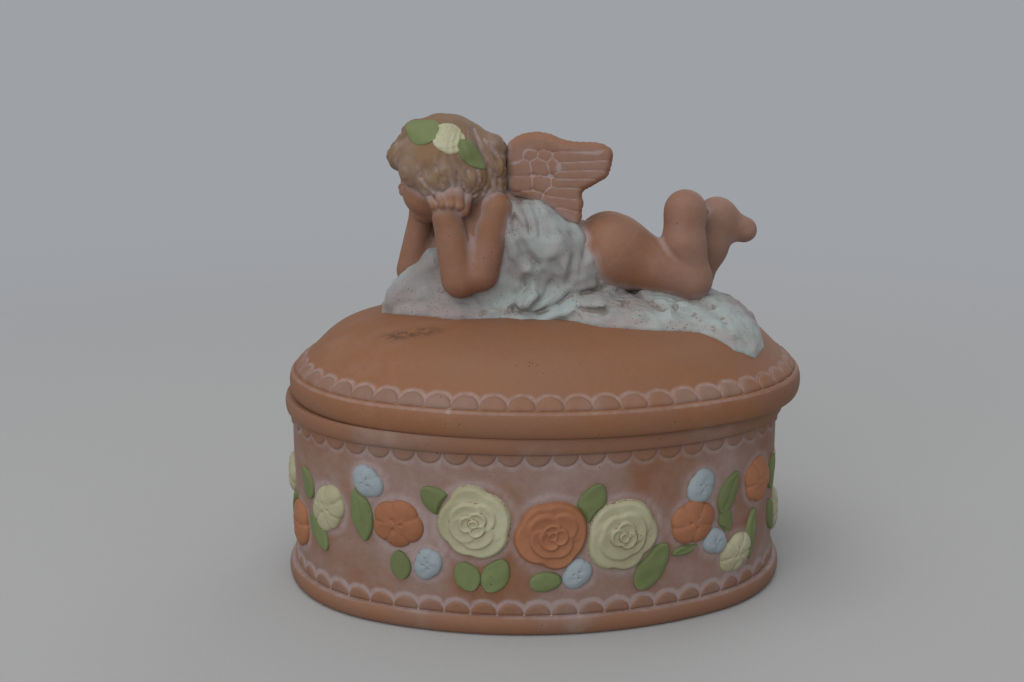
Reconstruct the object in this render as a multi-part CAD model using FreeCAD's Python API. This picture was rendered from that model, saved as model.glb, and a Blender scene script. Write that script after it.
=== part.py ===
import FreeCAD, Part
import os
from math import asin, atan2, cos, degrees, hypot, pi, radians, sin, sqrt, tan
from FreeCAD import Matrix, Placement, Rotation, Vector

# An oval terracotta trinket box with a domed lid. A winged cherub lies on a drapery on the lid, and a
# garland of painted flowers in relief goes round the wall. Millimetres, +Z up. The origin is the middle
# of the underside, +X runs along the oval towards the cherub's feet, and -Y is the front.

# Oval plan: the lid's outline. Every other outline is this one, drawn in by an inset.
half_length = 65.0
half_width = 48.1
end_radius_share = 0.88       # roundness of the two ends, as a share of half_width

# Box
box_height = 48.0
box_wall = 4.0
box_floor = 4.0
floor_fillet = 3.0
wall_inset = 3.05             # the wall's face inside the lid's outline
foot_height = 4.4
foot_inset = 0.98             # widest line of the foot bead
foot_tuck = 1.15              # how far the bead's two edges draw in
brim_height = 4.0
brim_inset = 1.39
brim_tuck = 0.6

# Lid
rim_height = 6.4
rim_tuck = 1.2
rim_groove = 0.3
slope_deg = 45.0              # the plain slope above the rim
slope_run = 7.0
break_deg = 20.0              # where the shoulder arc hands over to the crown arc
shoulder_radius = 17.4
crown_radius = 52.0
lid_wall = 4.5
flange_play = 3.0             # gap between the locating flange and the box's wall
flange_wall = 3.0
flange_depth = 4.0
lid_rest_share = 0.88         # the lid rests off centre by this share of the play

# Scalloped borders
scallop_pairs = 27            # each border has twice as many, one of a pair opposite the other
scallop_relief = 0.5
foot_scallop_height = 3.0
rim_scallop_height = 3.1
lid_scallop_height = 3.7
scallop_gap = 0.06            # between neighbours

# Garland
rose_radius = 9.4
cream_blossom_radius = 5.4
orange_blossom_radius = 6.1
blue_blossom_radius = 3.9
rose_relief = 2.3
blossom_relief = 1.7
knob_relief = 1.5
leaf_relief = 1.1
garland_mid_share = 0.48      # height of the garland's middle line between the two rows of scallops

# Cherub
cherub_length = 95.0
skull_radius = 11.4
jaw_radius = 7.2
cheek_radius = 5.0
nose_radius = 1.5
neck_radius = 6.0
chest_radius = 10.0
belly_radius = 9.6
buttock_radius = 8.6
upper_arm_radius = 4.8
elbow_radius = 4.5
wrist_radius = 3.3
fist_radius = 3.9
thigh_radius = 8.2
knee_radius = 5.3
calf_radius = 5.3
ankle_radius = 3.9
toe_radius = 2.4
hair_thickness = 2.0
lock_radius = 4.2
hair_rose_radius = 4.6
hair_rose_relief = 1.6
wing_thickness = 3.4
wing_tip_share = 0.5          # a narrow end is this much as thick as it is broad
neck_base_share = 1.15
face_share = 0.35             # how far out the hairline lies over the face
hair_rose_shares = (-0.258, -0.130, 0.452)
hair_leaf_angles = (20, 175)
hair_leaf_out_share = 1.25

# Drapery
drape_edge = 1.3              # thickness at its hem
drape_crest = 7.4             # thickness over the crown at its thickest
sash_thickness = 1.4

overrun = 2.0                 # what cutting tools run past the faces that they cut
joint_share = 0.985           # the next bone's ball is this much smaller, so that it stays inside

end_radius = end_radius_share * half_width
corner_sum = half_length ** 2 + half_width ** 2 - 2 * half_length * end_radius
side_radius = corner_sum / (2 * (half_width - end_radius))
end_centre = half_length - end_radius
side_centre = side_radius - half_width
end_half_deg = degrees(atan2(side_centre, end_centre))
side_half_deg = 90 - end_half_deg
up = Vector(0, 0, 1)

# One entry per arc: radius, centre, direction of its middle, half of its angle
arcs = [
    (end_radius, Vector(end_centre, 0, 0), 0, end_half_deg),
    (side_radius, Vector(0, -side_centre, 0), 90, side_half_deg),
    (end_radius, Vector(-end_centre, 0, 0), 180, end_half_deg),
    (side_radius, Vector(0, side_centre, 0), 270, side_half_deg),
]


def outline_edges(start, steps, place):
    """Edges of an outline. A step is an end point, or a middle point and an end point of an arc."""
    edges = []
    here = start
    for step in steps:
        if len(step) == 1:
            edges.append(Part.LineSegment(place(here), place(step[0])).toShape())
        else:
            edges.append(Part.Arc(place(here), place(step[0]), place(step[1])).toShape())
        here = step[-1]
    edges.append(Part.LineSegment(place(here), place(start)).toShape())
    return edges


def oval_ring(start, steps):
    """An outline of (inset, height) points carried once round the oval."""
    wedges = []
    for radius, centre, middle_deg, half_deg in arcs:
        outline = outline_edges(start, steps, lambda p: Vector(radius - p[0], 0, p[1]))
        face = Part.Face(Part.Wire(outline))
        wedge = face.revolve(Vector(0, 0, 0), up, 2 * half_deg)
        wedge.rotate(Vector(0, 0, 0), up, middle_deg - half_deg)
        wedge.translate(centre)
        wedges.append(wedge)
    return wedges[0].fuse(wedges[1:])


def oval_prism(inset, low, high):
    """A solid with the oval's outline at this inset."""
    edges = []
    for radius, centre, middle_deg, half_deg in arcs:
        ends = [centre + Rotation(up, a).multVec(Vector(radius - inset, 0, 0))
                for a in (middle_deg - half_deg, middle_deg, middle_deg + half_deg)]
        edges.append(Part.Arc(*ends).toShape())
    face = Part.Face(Part.Wire(edges))
    face.translate(Vector(0, 0, low))
    return face.extrude(Vector(0, 0, high - low))


def wall_point(along, inset):
    """Point and outward direction at a distance along the oval, from the middle of the front towards +X."""
    side = radians(side_half_deg) * (side_radius - inset)
    end = 2 * radians(end_half_deg) * (end_radius - inset)
    lap = 4 * side + 2 * end
    s = (along + side) % lap
    for radius, centre, middle_deg, half_deg in (arcs[3], arcs[0], arcs[1], arcs[2]):
        length = 2 * radians(half_deg) * (radius - inset)
        if s <= length:
            angle = radians(middle_deg - half_deg) + s / (radius - inset)
            out = Vector(cos(angle), sin(angle), 0)
            return centre + out * (radius - inset), out
        s -= length
    return centre + out * (radius - inset), out


def lap_length(inset):
    side = radians(side_half_deg) * (side_radius - inset)
    end = radians(end_half_deg) * (end_radius - inset)
    return 4 * (side + end)


def oval_inset(x, y):
    """How far a point in plan lies inside the lid's outline."""
    x, y = abs(x), abs(y)
    if x > end_centre and atan2(y, x - end_centre) <= radians(end_half_deg):
        return end_radius - hypot(x - end_centre, y)
    return side_radius - hypot(x, y + side_centre)


# Dome: slope, shoulder arc and crown arc, each tangent to the next
slope, turn = radians(slope_deg), radians(break_deg)
slope_start = (rim_tuck + rim_groove, box_height + rim_height)
slope_end = (slope_start[0] + slope_run, slope_start[1] + slope_run * tan(slope))
shoulder_centre = (slope_end[0] + shoulder_radius * sin(slope), slope_end[1] - shoulder_radius * cos(slope))
crown_start = (shoulder_centre[0] - shoulder_radius * sin(turn),
               shoulder_centre[1] + shoulder_radius * cos(turn))
crown_centre = (crown_start[0] + crown_radius * sin(turn), crown_start[1] - crown_radius * cos(turn))
crown_inset = crown_centre[0]
crown_height = crown_centre[1] + crown_radius


def arc_point(centre, radius, angle):
    return (centre[0] - radius * sin(angle), centre[1] + radius * cos(angle))


def dome_outline(depth):
    """The dome's outline, this deep below its outer face."""
    shoulder, crown = shoulder_radius - depth, crown_radius - depth
    start = (slope_start[0] + depth * sin(slope), slope_start[1] - depth * cos(slope))
    steps = [
        (arc_point(shoulder_centre, shoulder, slope),),
        (arc_point(shoulder_centre, shoulder, (slope + turn) / 2),
         arc_point(shoulder_centre, shoulder, turn)),
        (arc_point(crown_centre, crown, turn / 2), arc_point(crown_centre, crown, 0)),
    ]
    return start, steps


def dome_height(x, y):
    """Height of the dome's outer face over a point in the lid's own plan."""
    inset = max(oval_inset(x, y), slope_start[0])
    if inset < slope_end[0]:
        return slope_start[1] + (inset - slope_start[0]) * tan(slope)
    if inset < crown_start[0]:
        return shoulder_centre[1] + sqrt(shoulder_radius ** 2 - (shoulder_centre[0] - inset) ** 2)
    if inset < crown_inset:
        return crown_centre[1] + sqrt(crown_radius ** 2 - (crown_centre[0] - inset) ** 2)
    return crown_height


inner_inset = wall_inset + box_wall
flange_outer = inner_inset + flange_play
flange_inner = flange_outer + flange_wall
lid_shift = Vector(flange_play * lid_rest_share, 0, 0)


def make_box_body():
    core = inner_inset + floor_fillet + overrun
    bend = floor_fillet * (1 - cos(pi / 4))
    steps = [
        ((foot_inset, foot_height / 2), (foot_inset + foot_tuck, foot_height)),
        ((wall_inset, foot_height),),
        ((wall_inset, box_height - brim_height),),
        ((brim_inset + brim_tuck, box_height - brim_height),),
        ((brim_inset, box_height - brim_height / 2), (brim_inset + brim_tuck, box_height)),
        ((inner_inset, box_height),),
        ((inner_inset, box_floor + floor_fillet),),
        ((inner_inset + bend, box_floor + bend), (inner_inset + floor_fillet, box_floor)),
        ((core, box_floor),),
        ((core, 0),),
    ]
    ring = oval_ring((foot_inset + foot_tuck, 0), steps)
    return ring.fuse(oval_prism(core, 0, box_floor)).removeSplitter()


def make_lid():
    """The lid's shell, and the same lid without its hollow, in the lid's own plan."""
    low = box_height - flange_depth
    start, dome = dome_outline(0)
    steps = [((0, box_height + rim_height / 2), (rim_tuck, box_height + rim_height)), (start,)] + dome + [
        ((crown_inset, low),),
        ((flange_outer, low),),
        ((flange_outer, box_height),),
    ]
    core = oval_prism(crown_inset, low, crown_height)
    full = oval_ring((rim_tuck, box_height), steps).fuse(core).removeSplitter()
    start, dome = dome_outline(lid_wall)
    bottom = low - overrun
    hollow = oval_ring((start[0], bottom), [(start,)] + dome + [((crown_inset, bottom),)])
    hollow = hollow.fuse(oval_prism(crown_inset, bottom, crown_height - lid_wall))
    hollow = hollow.common(oval_prism(flange_inner, bottom, crown_height))
    return full.cut(hollow), full


def both_ways(solids):
    """The same solids twice, the second time half a turn round the oval."""
    return Part.Compound(solids + [solid.rotated(Vector(0, 0, 0), up, 180) for solid in solids])


def scallop_row(start, direction, height):
    """Half-round scallops standing on a line round the oval. direction is up the face, in (inset, height)."""
    d_in, d_up = direction
    face_out = (-d_up, d_in) if d_up > 0 else (d_up, -d_in)
    reach = (start[0] + d_in * (height + overrun), start[1] + d_up * (height + overrun))
    lift = (face_out[0] * scallop_relief, face_out[1] * scallop_relief)
    band = oval_ring(start, [(reach,), ((reach[0] + lift[0], reach[1] + lift[1]),),
                             ((start[0] + lift[0], start[1] + lift[1]),)])
    pitch = lap_length(start[0]) / (2 * scallop_pairs)
    radius = pitch / 2 - scallop_gap
    depth = scallop_relief + overrun
    scallops = []
    for i in range(scallop_pairs):
        base, out = wall_point((i + 1 / 2) * pitch, start[0])
        base.z = start[1]
        climb = up * d_up - out * d_in
        axis = up * face_out[1] - out * face_out[0]
        disc = Part.makeCylinder(radius, 2 * depth, base + climb * (height - radius) - axis * depth, axis)
        scallops += disc.common(band).Solids
    return both_ways(scallops)


def low_cap(x, y, base_radius, relief):
    """A ball sunk in the ground z = 0, so that a low cap stands proud of it."""
    radius = (base_radius ** 2 + relief ** 2) / (2 * relief)
    return Part.makeSphere(radius, Vector(x, y, relief - radius))


def on_wall(form, along, height, angle_deg=0):
    """A copy of a form made on the ground, laid against the wall and turned on it."""
    point, out = wall_point(along, wall_inset)
    side = out.cross(up) * -1
    placed = form.copy()
    stand = Matrix(side.x, 0, out.x, point.x, side.y, 0, out.y, point.y, 0, 1, 0, height, 0, 0, 0, 1)
    placed.Placement = Placement(stand) * Placement(Vector(0, 0, 0), up, angle_deg)
    return placed


leaf_spread_share = 0.56

# A flower is rings of petals: how many, distance out, petal size and relief, as shares of the flower's own
rose_ring_shares = [(5, 0.60, 0.46, 0.62), (3, 0.24, 0.38, 0.88), (1, 0.0, 0.20, 1.0)]
blossom_ring_shares = [(5, 0.60, 0.42, 0.85), (1, 0.0, 0.30, 1.0)]


def flower(radius, relief, ring_shares):
    caps = []
    for count, out_share, size_share, relief_share in ring_shares:
        for i in range(count):
            angle = 2 * pi * i / count + out_share
            caps.append(low_cap(radius * out_share * cos(angle), radius * out_share * sin(angle),
                                radius * size_share, relief * relief_share))
    return caps[0].fuse(caps[1:])


def blossom(radius, relief):
    return flower(radius, relief, blossom_ring_shares)


def leaf(length, width):
    """A pointed leaf: where two discs cross, under a low cap."""
    radius = (length ** 2 + width ** 2) / (4 * width)
    reach = leaf_relief + overrun
    offset = radius - width / 2
    discs = [Part.makeCylinder(radius, 2 * reach, Vector(0, way * offset, -reach)) for way in (1, -1)]
    return discs[0].common(discs[1]).common(low_cap(0, 0, length * leaf_spread_share, leaf_relief))


# Places of the garland on the front half: along the wall as a share of half a lap, and height above the
# middle line as a share of half of the plain band. The back half is the same, half a turn round.
cream_rose_shares = [(-0.104, 0.213), (0.099, 0.000)]
orange_rose_shares = [(0.002, 0.056)]
cream_blossom_shares = [(-0.490, 0.202), (-0.334, 0.112), (0.288, -0.606), (0.440, -0.421)]
orange_blossom_shares = [(-0.422, -0.393), (-0.214, 0.107), (0.207, 0.028), (0.338, 0.382)]
blue_blossom_shares = [(-0.259, 0.662), (-0.170, -0.443), (0.037, -0.550), (0.218, 0.544), (0.246, -0.337)]
# Leaves: along and height, then length and width as shares of rose_radius, and the angle of their length
leaf_shares = [
    (0.055, 0.460, 1.15, 0.68, 67), (-0.158, 0.505, 0.90, 0.62, 142), (-0.116, -0.572, 0.78, 0.66, 115),
    (-0.076, -0.550, 0.92, 0.66, 62), (-0.010, -0.640, 0.80, 0.52, 8), (0.143, -0.533, 1.35, 0.74, 56),
    (0.192, -0.370, 0.72, 0.26, 10), (0.268, 0.359, 1.15, 0.60, 64), (0.260, -0.045, 0.62, 0.44, 100),
    (0.326, -0.404, 1.35, 0.46, 82), (-0.270, 0.185, 1.45, 0.66, 100), (-0.385, 0.359, 0.85, 0.55, 120),
    (-0.356, -0.325, 1.05, 0.62, -48), (-0.210, -0.494, 0.72, 0.56, 98), (0.395, 0.348, 0.95, 0.55, 75),
    (0.398, -0.348, 0.95, 0.50, 110), (-0.455, -0.196, 0.95, 0.52, 60),
]


def make_garland():
    """The sprigs of each kind of flower. Each kind stops where an earlier one already lies."""
    low, high = foot_height + foot_scallop_height, box_height - brim_height - rim_scallop_height
    middle, half_band = low + garland_mid_share * (high - low), (high - low) / 2
    face = wall_inset - rose_relief - overrun
    band = oval_ring((wall_inset, low), [((face, low),), ((face, high),), ((wall_inset, high),)])
    half_lap = lap_length(wall_inset) / 2
    rose = flower(rose_radius, rose_relief, rose_ring_shares)
    kinds = [
        ("cream_roses", cream_rose_shares, rose),
        ("orange_roses", orange_rose_shares, rose),
        ("cream_blossoms", cream_blossom_shares, blossom(cream_blossom_radius, blossom_relief)),
        ("orange_blossoms", orange_blossom_shares, blossom(orange_blossom_radius, blossom_relief)),
        ("blue_blossoms", blue_blossom_shares, blossom(blue_blossom_radius, knob_relief)),
    ]
    laid, garland = [], {}
    for name, shares, form in kinds:
        sprigs = [on_wall(form, along * half_lap, middle + height * half_band) for along, height in shares]
        solids = [largest(cut_by(sprig.common(band), laid)) for sprig in sprigs]
        laid += solids
        garland[name] = both_ways(solids)
    leaves = []
    for along, height, length, width, angle_deg in leaf_shares:
        form = leaf(length * rose_radius, width * rose_radius)
        sprig = on_wall(form, along * half_lap, middle + height * half_band, angle_deg).common(band)
        leaves.append(largest(cut_by(sprig, laid)))
    garland["garland_leaves"] = both_ways(leaves)
    return garland


def cut_by(solid, others):
    near = [other for other in others if other.BoundBox.intersect(solid.BoundBox)]
    return solid.cut(near) if near else solid


def largest(shape):
    return max(shape.Solids, key=lambda piece: piece.Volume)


def bone(start, start_radius, end, end_radius):
    """A tapered limb with a ball at each end."""
    line = end - start
    length = line.Length
    lean = asin((start_radius - end_radius) / length)
    mid_end = (lean + pi / 2) / 2

    def at(base, radius, angle):
        return Vector(radius * cos(angle), 0, base + radius * sin(angle))
    bottom, top = at(0, start_radius, -pi / 2), at(length, end_radius, pi / 2)
    low, high = at(0, start_radius, lean), at(length, end_radius, lean)
    edges = [
        Part.Arc(bottom, at(0, start_radius, (lean - pi / 2) / 2), low),
        Part.LineSegment(low, high),
        Part.Arc(high, at(length, end_radius, mid_end), top),
        Part.LineSegment(top, bottom),
    ]
    face = Part.Face(Part.Wire([edge.toShape() for edge in edges]))
    solid = face.revolve(Vector(0, 0, 0), up, 360)
    solid.Placement = Placement(start, Rotation(up, line))
    return solid


# Places of the cherub's joints, from the middle of the lid's crown, as shares of cherub_length
joint_shares = {
    "skull": (-0.264, -0.021, 0.375), "jaw": (-0.305, -0.006, 0.318), "near_cheek": (-0.298, -0.072, 0.342),
    "far_cheek": (-0.296, 0.048, 0.342), "nose": (-0.382, 0.008, 0.345),
    "nape": (-0.165, -0.030, 0.300),
    "chest": (-0.045, -0.018, 0.186), "belly": (0.060, -0.018, 0.130), "hips": (0.155, -0.012, 0.122),
    "near_buttock": (0.168, -0.058, 0.165), "far_buttock": (0.172, 0.047, 0.158),
    "near_shoulder": (-0.148, -0.103, 0.275), "near_elbow": (-0.180, -0.112, 0.115),
    "near_forearm": (-0.228, -0.114, 0.100), "near_wrist": (-0.256, -0.122, 0.262),
    "near_fist": (-0.250, -0.128, 0.318),
    "far_shoulder": (-0.140, 0.072, 0.265), "far_elbow": (-0.310, 0.100, 0.090),
    "far_forearm": (-0.350, 0.104, 0.084), "far_wrist": (-0.336, 0.086, 0.245),
    "far_fist": (-0.328, 0.078, 0.292),
    "near_hip": (0.180, -0.060, 0.154), "near_knee": (0.372, -0.084, 0.084),
    "near_calf": (0.358, -0.082, 0.173),
    "near_ankle": (0.370, -0.070, 0.262), "near_toe": (0.360, 0.000, 0.278),
    "far_hip": (0.178, 0.052, 0.140), "far_knee": (0.402, 0.045, 0.070), "far_calf": (0.440, 0.048, 0.150),
    "far_ankle": (0.466, 0.052, 0.228), "far_toe": (0.555, 0.054, 0.194),
}
# Balls of hair round the crown of the head, at the brow and the nape
lock_shares = [
    (-0.374, -0.021, 0.405), (-0.335, -0.030, 0.455), (-0.345, -0.095, 0.375), (-0.338, 0.055, 0.380),
    (-0.272, -0.128, 0.360), (-0.205, -0.120, 0.352), (-0.165, -0.085, 0.320), (-0.150, -0.060, 0.425),
    (-0.262, 0.085, 0.360), (-0.175, 0.072, 0.345),
]
# A wing's blades: places along each blade and half of its breadth there
upper_blade_shares = [
    (-0.118, -0.050, 0.362, 0.046), (-0.022, -0.066, 0.392, 0.076), (0.052, -0.080, 0.390, 0.064),
    (0.114, -0.090, 0.398, 0.047), (0.155, -0.096, 0.404, 0.014),
]
lower_blade_shares = [
    (-0.070, -0.060, 0.335, 0.030), (0.010, -0.078, 0.322, 0.042), (0.058, -0.088, 0.292, 0.040),
    (0.080, -0.094, 0.258, 0.016),
]
far_wing_drop_share = 0.026
mirror_line_share = -0.018    # the cherub's middle plane, across the lid


def joint(name):
    return place(*joint_shares[name])


def place(x, y, z):
    return Vector(x * cherub_length, y * cherub_length, crown_height + z * cherub_length)


def ball(name, radius):
    return Part.makeSphere(radius, joint(name))


def limb(*stations):
    """Bones end to end through (joint, radius) stations."""
    bones = []
    for i in range(len(stations) - 1):
        (start, start_radius), (end, end_radius) = stations[i], stations[i + 1]
        share = joint_share if i else 1
        bones.append(bone(joint(start), start_radius * share, joint(end), end_radius))
    return bones[0].fuse(bones[1:]) if bones[1:] else bones[0]


def blade(stations):
    """A thin blade with an oval section, lofted through its stations."""
    centres = [place(x, y, z) for x, y, z, half in stations]
    wires = []
    for i, station in enumerate(stations):
        run = (centres[min(i + 1, len(centres) - 1)] - centres[max(i - 1, 0)]).normalize()
        tall = Vector(0, 1, 0).cross(run).normalize()
        half_breadth = station[3] * cherub_length
        half_thick = min(wing_thickness / 2, half_breadth * wing_tip_share)
        side = run.cross(tall)
        rim = Part.Ellipse(centres[i] + tall * half_breadth, centres[i] + side * half_thick, centres[i])
        wires.append(Part.Wire(rim.toBSpline().toShape()))
    return Part.makeLoft(wires, True, False)


def make_wings():
    """The near wing, and the far one across the cherub's middle plane and a little lower."""
    wing = blade(upper_blade_shares).fuse(blade(lower_blade_shares))
    far = wing.mirror(place(0, mirror_line_share, 0), Vector(0, 1, 0))
    return wing, far.translated(Vector(0, 0, -far_wing_drop_share * cherub_length))


# The drapery's stations along the lid: x, then the near and the far hem, as shares of cherub_length, then
# how much of drape_crest lies over it there
drape_shares = [
    (-0.431, -0.010, 0.101, 0.10), (-0.404, -0.046, 0.137, 0.75), (-0.335, -0.091, 0.162, 1.00),
    (-0.239, -0.142, 0.167, 1.05), (-0.123, -0.137, 0.172, 0.80), (0.014, -0.152, 0.172, 0.75),
    (0.116, -0.233, 0.203, 0.85), (0.233, -0.243, 0.213, 0.72), (0.369, -0.228, 0.213, 0.68),
    (0.452, -0.268, 0.192, 0.56), (0.513, -0.248, 0.132, 0.42), (0.551, -0.182, 0.030, 0.20),
]
# Over each station the cloth lies in soft folds: how much of its thickness stands from hem to hem
fold_shares = [0.0, 0.62, 0.50, 0.95, 0.86, 1.0, 0.80, 0.92, 0.48, 0.60, 0.0]


def make_drapery():
    """The cloth spread over the crown, before what lies in it is cut out."""
    wires = []
    for x_share, near_share, far_share, crest_share in drape_shares:
        x, near, far = x_share * cherub_length, near_share * cherub_length, far_share * cherub_length
        tops = []
        for i, fold in enumerate(fold_shares):
            y = near + (far - near) * i / (len(fold_shares) - 1)
            tops.append(Vector(x, y, dome_height(x, y) + drape_edge + fold * crest_share * drape_crest))
        low = box_height + rim_height
        top = Part.BSplineCurve()
        top.interpolate(tops)
        sides = [tops[-1], Vector(x, far, low), Vector(x, near, low), tops[0]]
        edges = [top.toShape()] + [Part.LineSegment(sides[i], sides[i + 1]).toShape() for i in range(3)]
        wires.append(Part.Wire(edges))
    return Part.makeLoft(wires, True, False)


def make_cherub(lid_block):
    """Everything that lies on the lid. Each piece is cut by the larger ones that it is luted to."""
    torso = limb(("chest", chest_radius), ("belly", belly_radius), ("hips", belly_radius))
    torso = torso.fuse([ball("near_buttock", buttock_radius), ball("far_buttock", buttock_radius),
                        limb(("chest", neck_radius * neck_base_share), ("nape", neck_radius))])
    jaw = limb(("skull", skull_radius), ("jaw", jaw_radius))
    cheeks = [ball("near_cheek", cheek_radius), ball("far_cheek", cheek_radius)]
    head = cut_by(jaw.fuse(cheeks + [ball("nose", nose_radius)]), [torso])
    sash_chest, sash_belly = chest_radius + sash_thickness, belly_radius + sash_thickness
    sash = limb(("chest", sash_chest), ("belly", sash_belly))

    def leg(side):
        names = [side + name for name in ("_hip", "_knee", "_calf", "_ankle", "_toe")]
        radii = (thigh_radius, knee_radius, calf_radius, ankle_radius, toe_radius)
        return limb(*zip(names, radii))

    def arm(side):
        upper = limb((side + "_shoulder", upper_arm_radius), (side + "_elbow", elbow_radius))
        names = [side + name for name in ("_forearm", "_wrist", "_fist")]
        return upper.fuse(limb(*zip(names, (elbow_radius, wrist_radius, fist_radius))))

    left_leg = cut_by(leg("near"), [torso])
    right_leg = cut_by(leg("far"), [torso, left_leg])
    left_arm = cut_by(arm("near"), [torso, head])
    right_arm = cut_by(arm("far"), [torso, head, left_arm])
    cap = Part.makeSphere(skull_radius + hair_thickness, joint("skull"))
    face_side = (joint("jaw") - joint("skull")).normalize()
    reach = 2 * (skull_radius + hair_thickness + overrun)
    hairline = joint("skull") + face_side * (skull_radius * face_share)
    opening = Part.makeCylinder(reach, reach, hairline, face_side)
    locks = [Part.makeSphere(lock_radius, place(*shares)) for shares in lock_shares]
    hair = cut_by(cap.cut(opening).fuse(locks), [head, torso, left_arm, right_arm])
    near_wing, far_wing = make_wings()
    left_wing = largest(cut_by(near_wing, [torso, hair, head]))
    right_wing = largest(cut_by(far_wing, [torso, hair, head, left_wing]))
    members = [torso, head, left_leg, right_leg, left_arm, right_arm, hair, left_wing, right_wing]
    drapery = make_drapery().fuse(sash).cut(members + [lid_block])
    toward = (place(*hair_rose_shares) - joint("skull")).normalize()
    seat = joint("skull") + toward * (skull_radius + hair_thickness)
    lay = Placement(seat, Rotation(up, toward))
    rose = blossom(hair_rose_radius, hair_rose_relief)
    rose.Placement = lay
    rose = largest(cut_by(rose, [hair, head]))
    leaves = []
    for angle_deg in hair_leaf_angles:
        one = leaf(2 * hair_rose_radius, hair_rose_radius)
        out = Placement(Vector(hair_rose_radius * hair_leaf_out_share, 0, 0), Rotation())
        one.Placement = lay * Placement(Vector(0, 0, 0), up, angle_deg) * out
        leaves.append(largest(cut_by(one, [hair, head, rose])))
    return {
        "cherub_torso": torso, "cherub_head": head, "cherub_hair": largest(hair),
        "left_arm": largest(left_arm), "right_arm": largest(right_arm),
        "left_leg": largest(left_leg), "right_leg": largest(right_leg),
        "left_wing": left_wing, "right_wing": right_wing,
        "drapery": largest(drapery), "hair_rose": rose, "hair_leaves": Part.Compound(leaves),
    }


def main():
    os.makedirs("parts", exist_ok=True)
    lid_shell, lid_block = make_lid()
    nodes = {"box_body": make_box_body()}
    nodes["foot_scallops"] = scallop_row((wall_inset, foot_height), (0, 1), foot_scallop_height)
    nodes["rim_scallops"] = scallop_row((wall_inset, box_height - brim_height), (0, -1), rim_scallop_height)
    nodes.update(make_garland())
    on_lid = {"lid_shell": lid_shell}
    on_lid["lid_scallops"] = scallop_row(slope_start, (cos(slope), sin(slope)), lid_scallop_height)
    on_lid.update(make_cherub(lid_block))
    for name, shape in on_lid.items():
        nodes[name] = shape.translated(lid_shift)
    for name, shape in nodes.items():
        shape.exportStep("parts/" + name + ".step")
        print(name, "valid" if shape.isValid() else "NOT VALID", len(shape.Solids), round(shape.Volume))


if __name__ == "__main__":
    main()
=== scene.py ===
import math
import bmesh
import bpy
import numpy as np
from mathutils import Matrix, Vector


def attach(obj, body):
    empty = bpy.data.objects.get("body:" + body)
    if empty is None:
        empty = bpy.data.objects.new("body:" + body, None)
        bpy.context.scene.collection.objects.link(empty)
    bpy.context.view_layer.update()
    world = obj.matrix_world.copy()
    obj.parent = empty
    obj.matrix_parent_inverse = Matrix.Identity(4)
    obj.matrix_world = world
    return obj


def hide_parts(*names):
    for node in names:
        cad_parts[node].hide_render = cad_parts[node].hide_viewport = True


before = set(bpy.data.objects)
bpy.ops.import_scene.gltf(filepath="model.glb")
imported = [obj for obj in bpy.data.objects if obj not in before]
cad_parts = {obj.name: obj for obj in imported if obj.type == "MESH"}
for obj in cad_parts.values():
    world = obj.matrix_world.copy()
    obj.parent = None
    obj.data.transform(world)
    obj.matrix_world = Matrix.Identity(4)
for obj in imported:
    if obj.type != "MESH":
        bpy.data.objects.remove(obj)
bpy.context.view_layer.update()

scene = bpy.context.scene
mm = 0.001

# Oval plan of the lid's outline, in millimetres. Every other outline is this one drawn in by an inset.
oval = {"halfLength": 65.0, "halfWidth": 48.1, "endRadius": 42.328}
endRadius = oval["endRadius"]
endCentre = oval["halfLength"] - endRadius
sideRadius = ((oval["halfLength"] ** 2 + oval["halfWidth"] ** 2 - 2 * oval["halfLength"] * endRadius)
    / (2 * (oval["halfWidth"] - endRadius)))
sideCentre = sideRadius - oval["halfWidth"]
endHalf = math.atan2(sideCentre, endCentre)  # half the angle of an end arc
sideHalf = math.pi / 2 - endHalf

box = {"height": 48.0, "wall": 4.0, "floor": 4.0, "floorFillet": 3.0, "wallInset": 3.05, "footHeight": 4.4,
    "footInset": 0.98, "footTuck": 1.15, "brimHeight": 4.0, "brimInset": 1.39, "brimTuck": 0.6, "steps": 400,
    "waver": 0.05, "shift": 0.0}
lid = {"rimHeight": 6.4, "rimTuck": 1.2, "rimGroove": 0.3, "slope": math.radians(45), "slopeRun": 7.0,
    "turn": math.radians(20), "shoulder": 17.4, "crown": 52.0, "wall": 4.5, "flangeOuter": 10.05,
    "flangeInner": 13.05, "flangeDepth": 4.0, "shift": 2.64, "steps": 400, "waver": 0.06}
border = {"count": 54, "relief": 0.5, "foot": 3.0, "rim": 3.1, "lid": 3.7, "sink": 0.35}
wallIn, footTop, brimLow = box["wallInset"], box["footHeight"], box["height"] - box["brimHeight"]


# Plan maths

def ovalLengths(inset):
    # Half of a side arc, then a whole end arc
    return sideHalf * (sideRadius - inset), 2 * endHalf * (endRadius - inset)


wallSide, wallEnd = ovalLengths(wallIn)
wallHalf = 2 * wallSide + wallEnd  # half a lap of the wall


def wallAt(along):
    # Points of the wall and outward directions at distances round it
    turns = np.floor(along / wallHalf)
    rest = along - turns * wallHalf
    onSides = np.minimum(rest, wallSide) + np.maximum(rest - wallSide - wallEnd, 0)
    angle = (turns * math.pi - math.pi / 2 + onSides / (sideRadius - wallIn)
        + np.clip(rest - wallSide, 0, wallEnd) / (endRadius - wallIn))
    c, s = np.cos(angle), np.sin(angle)
    atEnd = np.abs(c) >= math.cos(endHalf)
    r = np.where(atEnd, endRadius, sideRadius) - wallIn
    x = np.where(atEnd, np.sign(c) * endCentre, 0) + r * c
    y = r * s - np.where(atEnd, 0, np.sign(s) * sideCentre)
    return np.stack([x, y], -1), np.stack([c, s], -1)


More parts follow.
